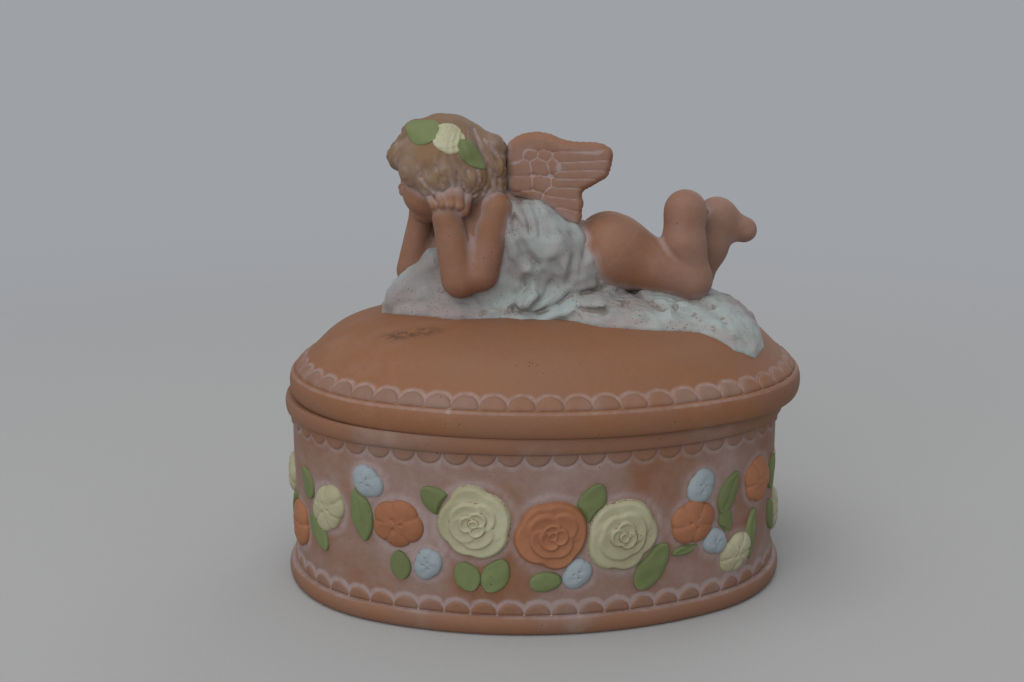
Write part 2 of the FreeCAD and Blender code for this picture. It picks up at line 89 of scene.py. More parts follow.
def ovalInset(x, y):
    # How far points in plan lie inside the lid's outline
    x, y = np.abs(x), np.abs(y)
    past = x - endCentre
    atEnd = (past > 0) & (np.arctan2(y, np.maximum(past, 1e-9)) <= endHalf)
    return np.where(atEnd, endRadius - np.hypot(past, y), sideRadius - np.hypot(x, y + sideCentre))


def alongOval(x, y, inset):
    # Distance round the oval from the middle of the front, and the length of a lap
    side, end = ovalLengths(inset)
    half = 2 * side + end
    ends = np.arctan2(y, np.abs(x) - endCentre)
    atEnd = (np.abs(ends) <= endHalf) & (np.abs(x) > endCentre)
    acrossSide = (sideRadius - inset) * np.arctan2(np.abs(x), np.abs(y) + sideCentre)
    s = np.where(atEnd, half / 2 + (endRadius - inset) * ends, np.where(y < 0, acrossSide, half - acrossSide))
    return np.where(x >= 0, s, -s), 2 * half


# Sections of the two turned pieces, as (inset, height, spread) with the spread drawing to nothing at a pole

def arc(cx, cy, radius, start, end, count):
    return [(cx - radius * math.sin(a), cy + radius * math.cos(a)) for a in np.linspace(start, end, count)]


def bead(inner, outer, low, high, count=12):
    # A half-round bead between two heights, bulging from inner to outer inset
    turns = np.linspace(-math.pi / 2, math.pi / 2, count)
    return [(inner - (inner - outer) * math.cos(a), (low + high) / 2 + (high - low) / 2 * math.sin(a))
        for a in turns]


def rounded(points, radius, count=4, straight=0.9):
    # Outline with its sharp corners eased
    result = [points[0]]
    for a, b, c in zip(points, points[1:], points[2:]):
        a, b, c = (np.array(p, float) for p in (a, b, c))
        before, after = np.linalg.norm(a - b), np.linalg.norm(c - b)
        if np.dot(b - a, c - b) / max(before * after, 1e-9) > straight:
            result.append(tuple(b))
            continue
        cut = min(radius, before * 0.45, after * 0.45)
        start, end = b + (a - b) / before * cut, b + (c - b) / after * cut
        for t in np.linspace(0, 1, count):
            result.append(tuple((1 - t) ** 2 * start + 2 * t * (1 - t) * b + t * t * end))
    return result + [points[-1]]


def turnedSection(points, radius, step, poleSteps):
    # Eased corners, no run longer than the step, and rings that shrink to the two poles
    points = rounded(points, radius)
    fine = [points[0]]
    for a, b in zip(points, points[1:]):
        count = max(1, math.ceil(math.dist(a, b) / step))
        fine += [tuple(np.array(a) + (np.array(b) - np.array(a)) * i / count) for i in range(1, count + 1)]
    shares = [i / poleSteps for i in range(poleSteps)]
    rows = [(*fine[0], s) for s in shares] + [(*p, 1.0) for p in fine]
    return rows + [(*fine[-1], s) for s in reversed(shares)]


def boxSection():
    footIn, inner, fillet = box["footInset"] + box["footTuck"], wallIn + box["wall"], box["floorFillet"]
    core, floor = inner + fillet + 2, box["floor"]
    points = [(core, 0), (footIn, 0), *bead(footIn, box["footInset"], 0, footTop)[1:],
        (wallIn - 0.25, footTop - 0.05), (wallIn, footTop + 0.35), (wallIn, brimLow - 0.3),
        (wallIn - 0.2, brimLow),
        *bead(box["brimInset"] + box["brimTuck"], box["brimInset"], brimLow, box["height"]),
        (inner, box["height"]), (inner, floor + fillet),
        *arc(inner + fillet, floor + fillet, fillet, math.pi / 2, math.pi, 7)[1:], (core, floor)]
    return turnedSection(points, 0.5, 0.75, 14)


slope, turn, shoulder, crown = (lid[key] for key in ("slope", "turn", "shoulder", "crown"))
domeStart = (lid["rimTuck"] + lid["rimGroove"], box["height"] + lid["rimHeight"])
domeEnd = (domeStart[0] + lid["slopeRun"], domeStart[1] + lid["slopeRun"] * math.tan(slope))
shoulderCentre = (domeEnd[0] + shoulder * math.sin(slope), domeEnd[1] - shoulder * math.cos(slope))
crownStart = shoulderCentre[0] - shoulder * math.sin(turn)
crownCentre = (crownStart + crown * math.sin(turn), shoulderCentre[1] + (shoulder - crown) * math.cos(turn))
crownTop = crownCentre[1] + crown


def domeSection(depth):
    # The dome from its foot to the crown, this deep below its face
    start = (domeStart[0] + depth * math.sin(slope), domeStart[1] - depth * math.cos(slope))
    crownArc = arc(*crownCentre, crown - depth, turn, 0, 14)
    return [start, *arc(*shoulderCentre, shoulder - depth, slope, turn, 14), *crownArc[1:]]


def domeHeight(x, y):
    # Height of the dome's face over points of the lid's own plan
    i = np.maximum(ovalInset(x, y), domeStart[0])
    slopeFace = domeStart[1] + (i - domeStart[0]) * math.tan(slope)
    arcs = [centre[1] + np.sqrt(np.maximum(radius ** 2 - (centre[0] - i) ** 2, 0))
        for centre, radius in ((shoulderCentre, shoulder), (crownCentre, crown))]
    return np.select([i < domeEnd[0], i < crownStart, i < crownCentre[0]], [slopeFace, *arcs], crownTop)


def lidSection():
    seat, tuck, outer, inner = box["height"], lid["rimTuck"], lid["flangeOuter"], lid["flangeInner"]
    hollow = [p for p in domeSection(lid["wall"]) if p[0] > inner]
    points = [*domeSection(0)[::-1], (tuck, domeStart[1]), *bead(tuck, 0, seat, domeStart[1], 14)[::-1][1:],
        (outer, seat), (outer, seat - lid["flangeDepth"]), (inner, seat - lid["flangeDepth"]),
        (inner, hollow[0][1] - 0.3), *hollow]
    return turnedSection(points, 0.45, 0.8, 22)


# Nodes

class Socket:
    # A node's socket with operators, so that node maths reads as an expression
    def __init__(self, net, out):
        self.net, self.out = net, out

    def maths(self, operation, *others):
        return self.net.maths(operation, self, *others)

    def __abs__(self):
        return self.maths("ABSOLUTE")

    def unit(self):
        return self.atLeast(0.0).atMost(1.0)

    def ramp(self, low, high):
        # 0 below low and 1 above high, with a soft step between
        return self.net.add("MapRange", {0: self, 1: low, 2: high}, interpolation_type="SMOOTHSTEP")


for word, operation in (("add", "ADD"), ("sub", "SUBTRACT"), ("mul", "MULTIPLY"), ("truediv", "DIVIDE")):
    setattr(Socket, f"__{word}__", lambda a, b, kind=operation: a.maths(kind, b))
    setattr(Socket, f"__r{word}__", lambda a, b, kind=operation: a.net.maths(kind, b, a))
for word, operation in (("atLeast", "MAXIMUM"), ("atMost", "MINIMUM")):
    setattr(Socket, word, lambda a, b, kind=operation: a.maths(kind, b))


class Net:
    def __init__(self, tree):
        self.tree = tree

    def add(self, kind, inputs=None, output=0, **settings):
        # A shading or geometry node whose inputs are sockets or plain values
        family = "ShaderNode" if hasattr(bpy.types, "ShaderNode" + kind) else "GeometryNode"
        node = self.tree.nodes.new(family + kind)
        for name, value in settings.items():
            setattr(node, name, value)
        for key, value in (inputs or {}).items():
            if isinstance(value, Socket):
                self.tree.links.new(value.out, node.inputs[key])
            else:
                node.inputs[key].default_value = value
        return Socket(self, node.outputs[output]) if len(node.outputs) else None

    def maths(self, operation, *values):
        return self.add("Math", dict(enumerate(values)), operation=operation)

    def mix(self, share, a, b):
        return self.add("Mix", {0: share, 6: a, 7: b}, 2, data_type="RGBA")

    def parts(self, vector):
        node = self.add("SeparateXYZ", {0: vector}).out.node
        return [Socket(self, node.outputs[i]) for i in range(3)]

    def noise(self, place, scale, detail, rough=0.5):
        return self.add("TexNoise", {"Vector": place, "Scale": scale, "Detail": detail, "Roughness": rough})

    def named(self, name, kind="FLOAT"):
        return self.add("InputNamedAttribute", {"Name": name}, data_type=kind)

    def store(self, geometry, name, value, kind="FLOAT"):
        inputs = {"Geometry": geometry, "Name": name, "Value": value}
        return self.add("StoreNamedAttribute", inputs, data_type=kind, domain="POINT")

    def move(self, geometry, x, y, z):
        place = self.add("CombineXYZ", {0: x * mm, 1: y * mm, 2: z * mm})
        return self.add("SetPosition", {"Geometry": geometry, "Position": place})


def geometryTree(name, sizes):
    # A new tree with its geometry in and out, and one named input for each size
    tree = bpy.data.node_groups.new(name, "GeometryNodeTree")
    for way in ("INPUT", "OUTPUT"):
        tree.interface.new_socket(name="Geometry", in_out=way, socket_type="NodeSocketGeometry")
    kinds = {int: "NodeSocketInt", float: "NodeSocketFloat", type(None): "NodeSocketMaterial"}
    for size, value in sizes.items():
        tree.interface.new_socket(name=size, in_out="INPUT", socket_type=kinds[type(value)])
    net = Net(tree)
    return net, {s.name: Socket(net, s) for s in tree.nodes.new("NodeGroupInput").outputs if s.name}


def endTree(net, geometry, material):
    result = net.add("RealizeInstances", {"Geometry": geometry})
    result = net.add("SetMaterial", {"Geometry": result, "Material": material})
    out = net.tree.nodes.new("NodeGroupOutput")
    net.tree.links.new(result.out, out.inputs[0])
    return net.tree


def runTree(obj, tree, sizes):
    # The tree's result as a plain mesh on the object, its faces outwards
    modifier = obj.modifiers.new(tree.name, "NODES")
    modifier.node_group = tree
    for item in tree.interface.items_tree:
        if item.in_out == "INPUT" and item.name in sizes:
            modifier[item.identifier] = sizes[item.name]
    graph = bpy.context.evaluated_depsgraph_get()
    mesh = bpy.data.meshes.new_from_object(obj.evaluated_get(graph))
    obj.modifiers.clear()
    obj.data = mesh
    mesh.name = obj.name
    work = bmesh.new()
    work.from_mesh(mesh)
    bmesh.ops.remove_doubles(work, verts=work.verts, dist=1e-7)
    bmesh.ops.recalc_face_normals(work, faces=work.faces)
    work.to_mesh(mesh)
    work.free()


def ovalPlace(net, size, angle, inset):
    # Plan position on the oval for an outward direction and an inset
    c, s = net.maths("COSINE", angle), net.maths("SINE", angle)
    atEnd = abs(c).maths("GREATER_THAN", size["End cosine"])
    radius = size["Side radius"] + atEnd * (size["End radius"] - size["Side radius"]) - inset
    x = c * radius + atEnd * c.maths("SIGN") * size["End centre"]
    return x, s * radius - (1.0 - atEnd) * s.maths("SIGN") * size["Side centre"]


ovalSizes = {"End radius": endRadius, "Side radius": sideRadius, "End centre": endCentre,
    "Side centre": sideCentre, "End cosine": math.cos(endHalf), "Shift": 0.0, "Finish": None}


def turnedTree():
    # Carries a section of (inset, height, spread) points round the oval
    net, size = geometryTree("turnedRoundOval", {**ovalSizes, "Steps": 1, "Waver": 0.0})
    section = net.store(size["Geometry"], "section", net.add("InputPosition"), "FLOAT_VECTOR")
    section = net.add("MeshToCurve", {"Mesh": section})
    path = net.add("CurvePrimitiveCircle", {"Resolution": size["Steps"], "Radius": 1.0})
    path = net.store(path, "turn", net.add("InputIndex") / size["Steps"] * (2 * math.pi) + 1e-4)
    body = net.add("CurveToMesh", {"Curve": path, "Profile Curve": section})
    inset, height, spread = net.parts(net.named("section", "FLOAT_VECTOR"))
    x, y = ovalPlace(net, size, net.named("turn"), inset)
    body = net.move(body, x * spread + size["Shift"], y * spread, height)
    body = net.add("MergeByDistance", {"Geometry": body, "Distance": 2e-6})
    lift = (net.noise(net.add("InputPosition"), 70.0, 2.0) - 0.5) * size["Waver"] * 2.0 * mm
    push = net.add("VectorMath", {0: net.add("InputNormal"), "Scale": lift}, operation="SCALE")
    body = net.add("SetPosition", {"Geometry": body, "Offset": push})
    return endTree(net, body, size["Finish"])


def borderTree():
    # Repeats one scallop of (along, up, out) points round the oval and bends each one to the face
    names = ("Inset", "Height", "Climb in", "Climb up", "Face in", "Face up", "Pitch", "Side arc", "End arc")
    net, size = geometryTree("scallopBorder", {**ovalSizes, "Count": 1, **dict.fromkeys(names, 0.0)})
    points = net.add("Points", {"Count": size["Count"]})
    points = net.store(points, "which", net.add("InputIndex") + 0.5)
    row = net.add("InstanceOnPoints", {"Points": points, "Instance": size["Geometry"]})
    row = net.add("RealizeInstances", {"Geometry": row})
    u, v, w = net.parts(net.add("InputPosition"))
    along = net.named("which") * size["Pitch"] + u
    half = 2.0 * size["Side arc"] + size["End arc"]
    turns = (along / half).maths("FLOOR")
    rest = along - turns * half
    side, end = (size[name] - size["Inset"] for name in ("Side radius", "End radius"))
    angle = (turns * math.pi - math.pi / 2 + rest.atMost(size["Side arc"]) / side
        + (rest - size["Side arc"]).atLeast(0.0).atMost(size["End arc"]) / end
        + (rest - size["Side arc"] - size["End arc"]).atLeast(0.0) / side)
    x, y = ovalPlace(net, size, angle, size["Inset"] + v * size["Climb in"] + w * size["Face in"])
    row = net.move(row, x + size["Shift"], y, size["Height"] + v * size["Climb up"] + w * size["Face up"])
    return endTree(net, row, size["Finish"])


# Meshes

def layer(mesh, name, numbers):
    mesh.attributes.new(name, "FLOAT", "POINT").data.foreach_set("value", np.asarray(numbers, np.float32))


def makeMesh(name, verts, faces, material, layers=None):
    # An object from points in millimetres, with its named point layers
    mesh = bpy.data.meshes.new(name)
    mesh.from_pydata((np.asarray(verts, float) * mm).tolist(), [], faces)
    for key, numbers in (layers or {}).items():
        layer(mesh, key, numbers)
    mesh.materials.append(material)
    mesh.update()
    return addObject(name, mesh)


def addObject(name, data):
    obj = bpy.data.objects.new(name, data)
    scene.collection.objects.link(obj)
    return obj


def settle(obj, body, node, slot):
    # Smooth, on its body, and in the place of its node
    obj.data.polygons.foreach_set("use_smooth", [True] * len(obj.data.polygons))
    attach(obj, body)
    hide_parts(node)


def readings(items, key, kind=np.int32, wide=1):
    # One value of many points, faces or corners at once
    found = np.zeros(len(items) * wide, kind)
    items.foreach_get(key, found)
    return found


def pointsOf(mesh):
    return readings(mesh.vertices, "co", np.float32, 3).reshape(-1, 3) / mm


# Finishes. Colours are written as they should look, in 0 to 255.

def tint(*colour):
    return tuple(((c / 255 + 0.055) / 1.055) ** 2.4 for c in colour) + (1.0,)


# The worn wash tint also serves as painted shade in the drapery's hollows
tints = {name: tint(*colour) for name, colour in {
    "clay": (127, 88, 65), "clayWarm": (130, 86, 57), "clayDull": (123, 91, 73), "haze": (156, 139, 137),
    "fleck": (58, 36, 24), "cream": (170, 167, 138), "creamDeep": (150, 146, 116), "orange": (154, 103, 73),
    "orangeDeep": (142, 92, 63), "green": (108, 118, 76), "greenDeep": (98, 107, 67), "blue": (149, 158, 161),
    "blueDeep": (136, 146, 150), "hair": (118, 90, 62), "hairDeep": (114, 89, 66), "wash": (150, 160, 157),
    "washDeep": (133, 129, 128), "washHaze": (150, 133, 130), "washWornAndShaded": (100, 92, 80), "moss": (70, 72, 56),
    "floor": (163, 162, 161), "room": (158, 161, 166)}.items()}


def shaderNet(owner):
    owner.use_nodes = True
    owner.node_tree.nodes.clear()
    return Net(owner.node_tree)


plainLook = {"film": 0.0, "hazeGain": 1.0, "patchy": 0.5, "cloudy": 0.5, "hazeMost": 0.85, "hazeTint": "haze",
    "wearAndShadeFrom": 0.62, "wearAndShadeRun": 0.22, "wearAndShadeMost": 0.8, "wearAndShadeGrain": 0.9, "wearAndShadeTint": "clay",
    "fleckScale": 900.0, "fleckFrom": 0.92, "fleckMost": 0.75, "fleckTint": "fleck", "speckle": 0.22,
    "bump": 0.35, "rough": 0.62, "gloss": 0.32, "extraHaze": None}


def finish(name, changes):
    # Clay or paint: two tones in clouds, a pale haze, worn places that also carry painted shade in hollows,
    # dark flecks and a fine grain
    look = {**plainLook, **changes}
    material = bpy.data.materials.new(name)
    net = shaderNet(material)
    spot = net.add("TexCoord", None, 3)
    sizes = ((42.0, 3.0, 0.55), (150.0, 4.0, 0.55), (620.0, 4.0, 0.6), (2600.0, 3.0, 0.6), (260.0, 2.0, 0.55))
    clouds, patches, mottle, grain, dents = (net.noise(spot, *size) for size in sizes)
    haze, wear, fleck = (net.add("Attribute", None, 2, attribute_name=key)
        for key in ("haze", "wear", "fleck"))
    colour = net.mix(clouds.ramp(0.36, 0.64), tints[look["tone"]], tints[look["deep"]])
    haze = haze * look["hazeGain"] + look["film"]
    haze = haze + (patches - 0.5) * look["patchy"] + (clouds - 0.5) * look["cloudy"]
    if look["extraHaze"]:
        haze = haze + look["extraHaze"](net, mottle)
    haze = (haze * (0.72 + 0.56 * mottle)).unit() * look["hazeMost"]
    colour = net.mix(haze, colour, tints[look["hazeTint"]])
    # Worn places from noise, and the hollows and creases marked on the mesh darkened towards the worn tint as
    # painted shade
    wornAndShaded = wear + (patches - 0.5) * 0.7 + (mottle - 0.5) * look["wearAndShadeGrain"]
    wornAndShaded = wornAndShaded.ramp(look["wearAndShadeFrom"], look["wearAndShadeFrom"] + look["wearAndShadeRun"]) * look["wearAndShadeMost"]
    colour = net.mix(wornAndShaded, colour, tints[look["wearAndShadeTint"]])
    cells = net.add("TexVoronoi", {"Vector": spot, "Scale": look["fleckScale"]})
    spread = (patches + mottle * 0.6).ramp(look["fleckFrom"], look["fleckFrom"] + 0.08)
    scuffs = fleck * (mottle * 0.6 + patches * 0.5).ramp(0.50, 0.60)
    fleck = ((1.0 - cells.ramp(0.10, 0.24)) * spread + scuffs).unit()
    colour = net.mix(fleck * look["fleckMost"], colour, tints[look["fleckTint"]])
    shade = (grain - 0.5) * look["speckle"] + (mottle - 0.5) * 0.16
    colour = net.add("HueSaturation", {"Value": 1.0 + shade, "Color": colour})
    relief = grain * 0.35 + mottle * 0.5 - fleck * 0.8 + dents * 1.1
    bump = net.add("Bump", {"Strength": look["bump"], "Distance": 0.00035, "Height": relief})
    rough = (look["rough"] + (mottle - 0.5) * 0.2 + haze * 0.12).unit()
    shader = net.add("BsdfPrincipled", {"Base Color": colour, "Roughness": rough, "Normal": bump,
        "Specular IOR Level": look["gloss"]})
    net.add("OutputMaterial", {0: shader})
    return material


def scallopHaze(rows, seam, mould=None, bare=()):
    # Slip that settles round the scallops, thick in the valleys, and along the seam beside them
    # Each row: where it starts, which way it points, how tall it is, how strong its slip is
    def haze(net, mottle):
        lap, high, _ = net.parts(net.add("UVMap", uv_map="lap"))
        along, height = lap * float(border["count"]), high * 100.0
        total = None
        for start, way, tall, gain in rows:
            over = (along.maths("FRACT") - 0.5) * (2 * wallHalf / border["count"])
            up = (height - start) * way
            rise = (up - (tall - 3.1)).atLeast(0.0)
            reach = (over * over + rise * rise).maths("SQRT")
            band = reach.ramp(2.95, 3.3) * (1.0 - reach.ramp(3.6, 4.7)) * up.ramp(0.0, 0.3)
            band = band * (1.0 - up.ramp(tall + 0.3, tall + 2.2)) * gain
            total = band if total is None else total + band
        total = total + (1.0 - abs(height - seam).ramp(0.1, 0.8)) * 0.4
        if mould:
            line = 1.0 - abs(lap - mould).ramp(0.0004, 0.0022)
            total = total + line * (1.0 - height.ramp(0.0, 0.8)) * height.ramp(-12.0, -11.0) * 0.5
        total = (total * (0.35 + mottle * 1.2)).unit()
        for low, top, less in bare:
            total = total - height.ramp(low, low + 0.4) * (1.0 - height.ramp(top - 0.4, top)) * less
        return total
    return haze


wallHaze = scallopHaze([(footTop, 1, border["foot"], 0.95), (brimLow, -1, border["rim"], 0.35)],
    footTop + 0.1, bare=[(0.0, footTop + 0.1, 0.30), (brimLow, box["height"] + 1.0, 0.28)])
lidHaze = scallopHaze([(0.0, 1, border["lid"], 0.6)], -0.7, -0.075)
finishes = {name: finish(name, look) for name, look in {
    "wallClay": {"tone": "clay", "deep": "clayDull", "film": 0.25, "patchy": 0.7, "cloudy": 1.6, "bump": 0.3,
        "extraHaze": wallHaze},
    "lidClay": {"tone": "clay", "deep": "clayWarm", "film": -0.06, "patchy": 0.4, "cloudy": 0.8, "bump": 0.3,
        "extraHaze": lidHaze},
    "borderClay": {"tone": "clay", "deep": "clayDull", "film": 0.10, "hazeGain": 0.7},
    "creamPaint": {"tone": "cream", "deep": "creamDeep", "hazeMost": 0.0, "fleckMost": 0.6, "wearAndShadeFrom": 0.74,
        "bump": 0.45, "rough": 0.7},
    "orangePaint": {"tone": "orange", "deep": "orangeDeep", "film": -0.1, "hazeMost": 0.25, "wearAndShadeMost": 0.4,
        "bump": 0.45, "rough": 0.7},
    "greenPaint": {"tone": "green", "deep": "greenDeep", "hazeMost": 0.0, "wearAndShadeFrom": 0.8, "wearAndShadeMost": 0.6,
        "bump": 0.4, "rough": 0.68},
    "bluePaint": {"tone": "blue", "deep": "blueDeep", "hazeMost": 0.3, "hazeTint": "washDeep",
        "wearAndShadeFrom": 0.84, "bump": 0.4, "rough": 0.72},
    "figureClay": {"tone": "clay", "deep": "clayWarm", "film": 0.10, "hazeGain": 0.9, "patchy": 0.4,
        "cloudy": 0.4, "bump": 0.25},
    "hairClay": {"tone": "hair", "deep": "hairDeep", "film": 0.06, "hazeGain": 0.8, "patchy": 0.6,
        "bump": 0.3},
    "wash": {"tone": "wash", "deep": "washDeep", "hazeGain": 0.5, "hazeTint": "washHaze", "patchy": 1.3,
        "cloudy": 1.1, "wearAndShadeFrom": 0.66, "wearAndShadeTint": "washWornAndShaded", "wearAndShadeMost": 0.5, "wearAndShadeGrain": 1.8,
        "fleckTint": "moss", "fleckFrom": 0.80, "fleckScale": 1300.0, "bump": 0.6, "rough": 0.8,
        "speckle": 0.3},
}.items()}


# Box, lid and their borders

def onDome(p):
    return p[:, 2] > domeHeight(p[:, 0] - lid["shift"], p[:, 1]) - 1.0


def onWall(p):
    return ovalInset(p[:, 0], p[:, 1]) < wallIn + 1.5


def makeTurned(name, section, part, material):
    mesh = bpy.data.meshes.new(name)
    mesh.from_pydata(section, [(i, i + 1) for i in range(len(section) - 1)], [])
    obj = addObject(name, mesh)
    runTree(obj, turned, {**ovalSizes, "Steps": part["steps"], "Shift": part["shift"], "Waver": part["waver"],
        "Finish": material})
    for key in ("section", "turn"):
        if key in obj.data.attributes:
            obj.data.attributes.remove(obj.data.attributes[key])
    return obj


def addLap(mesh, inset, shift, up, outer):
    # UV map of the outside: laps across, tenths of a metre up, and out of the way inside
    points = pointsOf(mesh)
    along, lap = alongOval(points[:, 0] - shift, points[:, 1], inset)
    high = np.where(outer(points), up(points), -50.0)
    corners = readings(mesh.loops, "vertex_index")
    starts, sizes = readings(mesh.polygons, "loop_start"), readings(mesh.polygons, "loop_total")
    u = (along / lap)[corners]
    u = u + np.round(np.repeat(u[starts], sizes) - u)
    uv = np.stack([u, high[corners] / 100], -1).astype(np.float32)
    mesh.uv_layers.new(name="lap").data.foreach_set("uv", uv.ravel())


print("box body and lid shell")
turned = turnedTree()
boxBody = makeTurned("boxBody", boxSection(), box, finishes["wallClay"])
addLap(boxBody.data, wallIn, 0.0, lambda p: p[:, 2], onWall)
lidShell = makeTurned("lidShell", lidSection(), lid, finishes["lidClay"])
addLap(lidShell.data, domeStart[0], lid["shift"], lambda p: (p[:, 2] - domeStart[1]) / math.sin(slope),
    onDome)
scuff = {"x": -32.0, "y": -20.0, "long": 8.5, "wide": 2.6}  # dark marks on the dome
spots = pointsOf(lidShell.data)
scuffAway = np.hypot((spots[:, 0] - scuff["x"]) / scuff["long"], (spots[:, 1] - scuff["y"]) / scuff["wide"])
layer(lidShell.data, "fleck", np.clip(1.3 - scuffAway, 0, 0.8) * onDome(spots))


def ringFaces(n, rings):
    # Faces from point 0 out through rings of n points each, and across the last ring
    faces = [(0, 1 + i, 1 + (i + 1) % n) for i in range(n)]
    for a in range(1, 1 + (rings - 1) * n, n):
        faces += [(a + i, a + n + i, a + n + (i + 1) % n, a + (i + 1) % n) for i in range(n)]
    return faces + [tuple(range(rings * n, (rings - 1) * n, -1))]


def scallop(tall, radius):
    # One half-round scallop with a soft edge, as (along, up, out)
    rings = [(0.35, 1.0), (0.62, 0.97), (0.80, 0.86), (0.92, 0.6), (0.985, 0.25), (1.0, 0.0)]
    low = tall - radius
    edge = [(radius * math.cos(a), low + radius * math.sin(a)) for a in np.linspace(0, math.pi, 19)]
    edge += [(x, 0.0) for x in np.linspace(-radius, radius, 9)[1:-1]]
    centre = np.array((0.0, max(low, 0.0) + radius * 0.36))
    verts, haze = [(*centre, border["relief"])], [0.0]
    for share, lift in rings:
        for p in edge:
            q = centre + (np.array(p) - centre) * share
            foot = 0.55 + 0.45 * min(1.0, q[1] / 0.7)
            verts.append((q[0], max(q[1], -0.05), border["relief"] * lift * foot))
            haze.append(max(0.0, 1.0 - lift * 1.6) * (0.25 if p[1] < 0.01 else 1.0))
    verts += [(*p, -border["sink"]) for p in edge]
    return verts, ringFaces(len(edge), len(rings) + 1), haze + [1.0] * len(edge)


def makeBorder(name, body, node, start, climb, tall, shift):
    side, end = ovalLengths(start[0])
    pitch = 2 * (2 * side + end) / border["count"]
    verts, faces, haze = scallop(tall, pitch / 2 - 0.04)
    material = finishes["borderClay"]
    obj = makeMesh(name, np.array(verts) / mm, faces, material, {"haze": haze})
    faceIn, faceUp = (-climb[1], climb[0]) if climb[1] > 0 else (climb[1], -climb[0])
    runTree(obj, scallops, {**ovalSizes, "Count": border["count"], "Inset": start[0], "Height": start[1],
        "Climb in": climb[0], "Climb up": climb[1], "Face in": faceIn, "Face up": faceUp, "Pitch": pitch,
        "Side arc": side, "End arc": end, "Shift": shift, "Finish": material})
    settle(obj, body, node, "terracotta")


print("borders")
scallops = borderTree()
makeBorder("footBorder", "box", "foot_scallops", (wallIn, footTop), (0.0, 1.0), border["foot"], 0.0)
makeBorder("brimBorder", "box", "rim_scallops", (wallIn, brimLow), (0.0, -1.0), border["rim"], 0.0)
makeBorder("lidBorder", "lid", "lid_scallops", domeStart, (math.cos(slope), math.sin(slope)), border["lid"],
    lid["shift"])


# Garland of painted flowers and leaves, on both halves of the wall

garland = {"roseRelief": 2.3, "blossomRelief": 1.7, "knobRelief": 1.5, "leafRelief": 1.0, "sink": 0.4,
    "seed": 11}
# Each flower: along from the middle of the front, height, radius, turn in degrees
creamRoses = [(-17.8, 27.1, 9.4, 200), (16.9, 23.5, 9.3, 20)]
orangeRoses = [(0.3, 24.4, 9.2, 115)]
creamBlossoms = [(-83.7, 26.9, 5.4, 0), (-57.0, 25.4, 5.9, 100), (49.2, 13.4, 5.2, 60), (75.2, 16.5, 5.2, 30)]
orangeBlossoms = [(-72.1, 16.9, 6.1, 10), (-36.5, 25.3, 6.3, 20), (35.3, 24.0, 6.0, 50),
    (57.8, 29.9, 6.1, 80)]
blueBlossoms = [(-44.2, 34.6, 4.1, 40), (-29.1, 16.1, 3.8, 0), (6.0, 14.6, 3.7, 70), (37.3, 32.6, 4.1, 10),
    (41.9, 17.9, 3.6, 30)]
# Each leaf: along, height, length, width, angle of its length
leaves = [(9.3, 31.3, 10.8, 6.8, 67), (-26.9, 32.0, 8.6, 6.2, 142), (-19.7, 13.9, 7.4, 6.3, 115),
    (-12.9, 14.4, 8.8, 6.4, 62), (-1.3, 12.9, 7.6, 5.2, 8), (24.4, 14.6, 12.8, 7.2, 56),
    (33.1, 17.5, 7.2, 2.6, 10), (45.8, 29.5, 11.0, 5.7, 64), (45.0, 22.8, 6.2, 4.4, 100),
    (54.8, 16.8, 12.8, 4.5, 82), (-46.1, 26.6, 13.8, 6.3, 100), (-65.8, 29.5, 8.2, 5.3, 120),
    (-60.8, 18.2, 10.0, 5.9, -48), (-35.9, 15.2, 7.0, 5.4, 98), (67.3, 29.3, 9.0, 5.2, 75),
    (67.8, 17.7, 9.0, 4.8, 110), (-77.4, 20.2, 9.0, 5.0, 60)]
# Rings of a rose: petals, distance out, size, rise, how deeply each is dished
roseRings = ((5, 0.47, 0.56, 0.62, 0.16), (4, 0.30, 0.44, 0.82, 0.18), (3, 0.16, 0.26, 0.96, 0.22),
    (1, 0.03, 0.14, 1.02, 0.20))


def eased(t):
    t = np.clip(t, 0, 1)
    return t * t * (3 - 2 * t)


def petal(x, y, cx, cy, rx, ry, turn, rise, dish):
    # A petal over an ellipse, dished inside a rounded lip: its height, and how much it covers
    c, s = math.cos(turn), math.sin(turn)
    u, v = ((x - cx) * c + (y - cy) * s) / rx, ((y - cy) * c - (x - cx) * s) / ry
    t = np.hypot(u, v)
    return rise * (1 - dish * (1 - eased((t - 0.35) / 0.5)) + 0.06 * u), eased((1 - t) / 0.22)


def roseHeight(radius, relief, soft=1.0):
    # Uneven petals overlap in rings round a small folded heart
    petals = []
    for count, out, size, rise, dish in roseRings:
        start = rng.uniform(0, 6.28)
        for i in range(count):
            a = start + 2 * math.pi * i / count + rng.uniform(-0.3, 0.3)
            o, wide = out * rng.uniform(0.85, 1.1), rng.uniform(0.9, 1.25)
            petals.append((o * math.cos(a), o * math.sin(a), size * rng.uniform(0.76, 0.98), size * wide,
                a + rng.uniform(-0.4, 0.4), rise * rng.uniform(0.94, 1.06), dish * soft))

    def height(x, y):
        u, v = x / radius, y / radius
        h = 0.45 * np.maximum(1 - (np.hypot(u, v) / 0.86) ** 3, 0) ** 0.5
        for one in petals:
            top, cover = petal(u, v, *one)
            h = h + (top - h) * cover
        return h * (0.84 + 0.18 * np.maximum(1 - np.hypot(u, v) ** 2, 0)) * relief
    return height


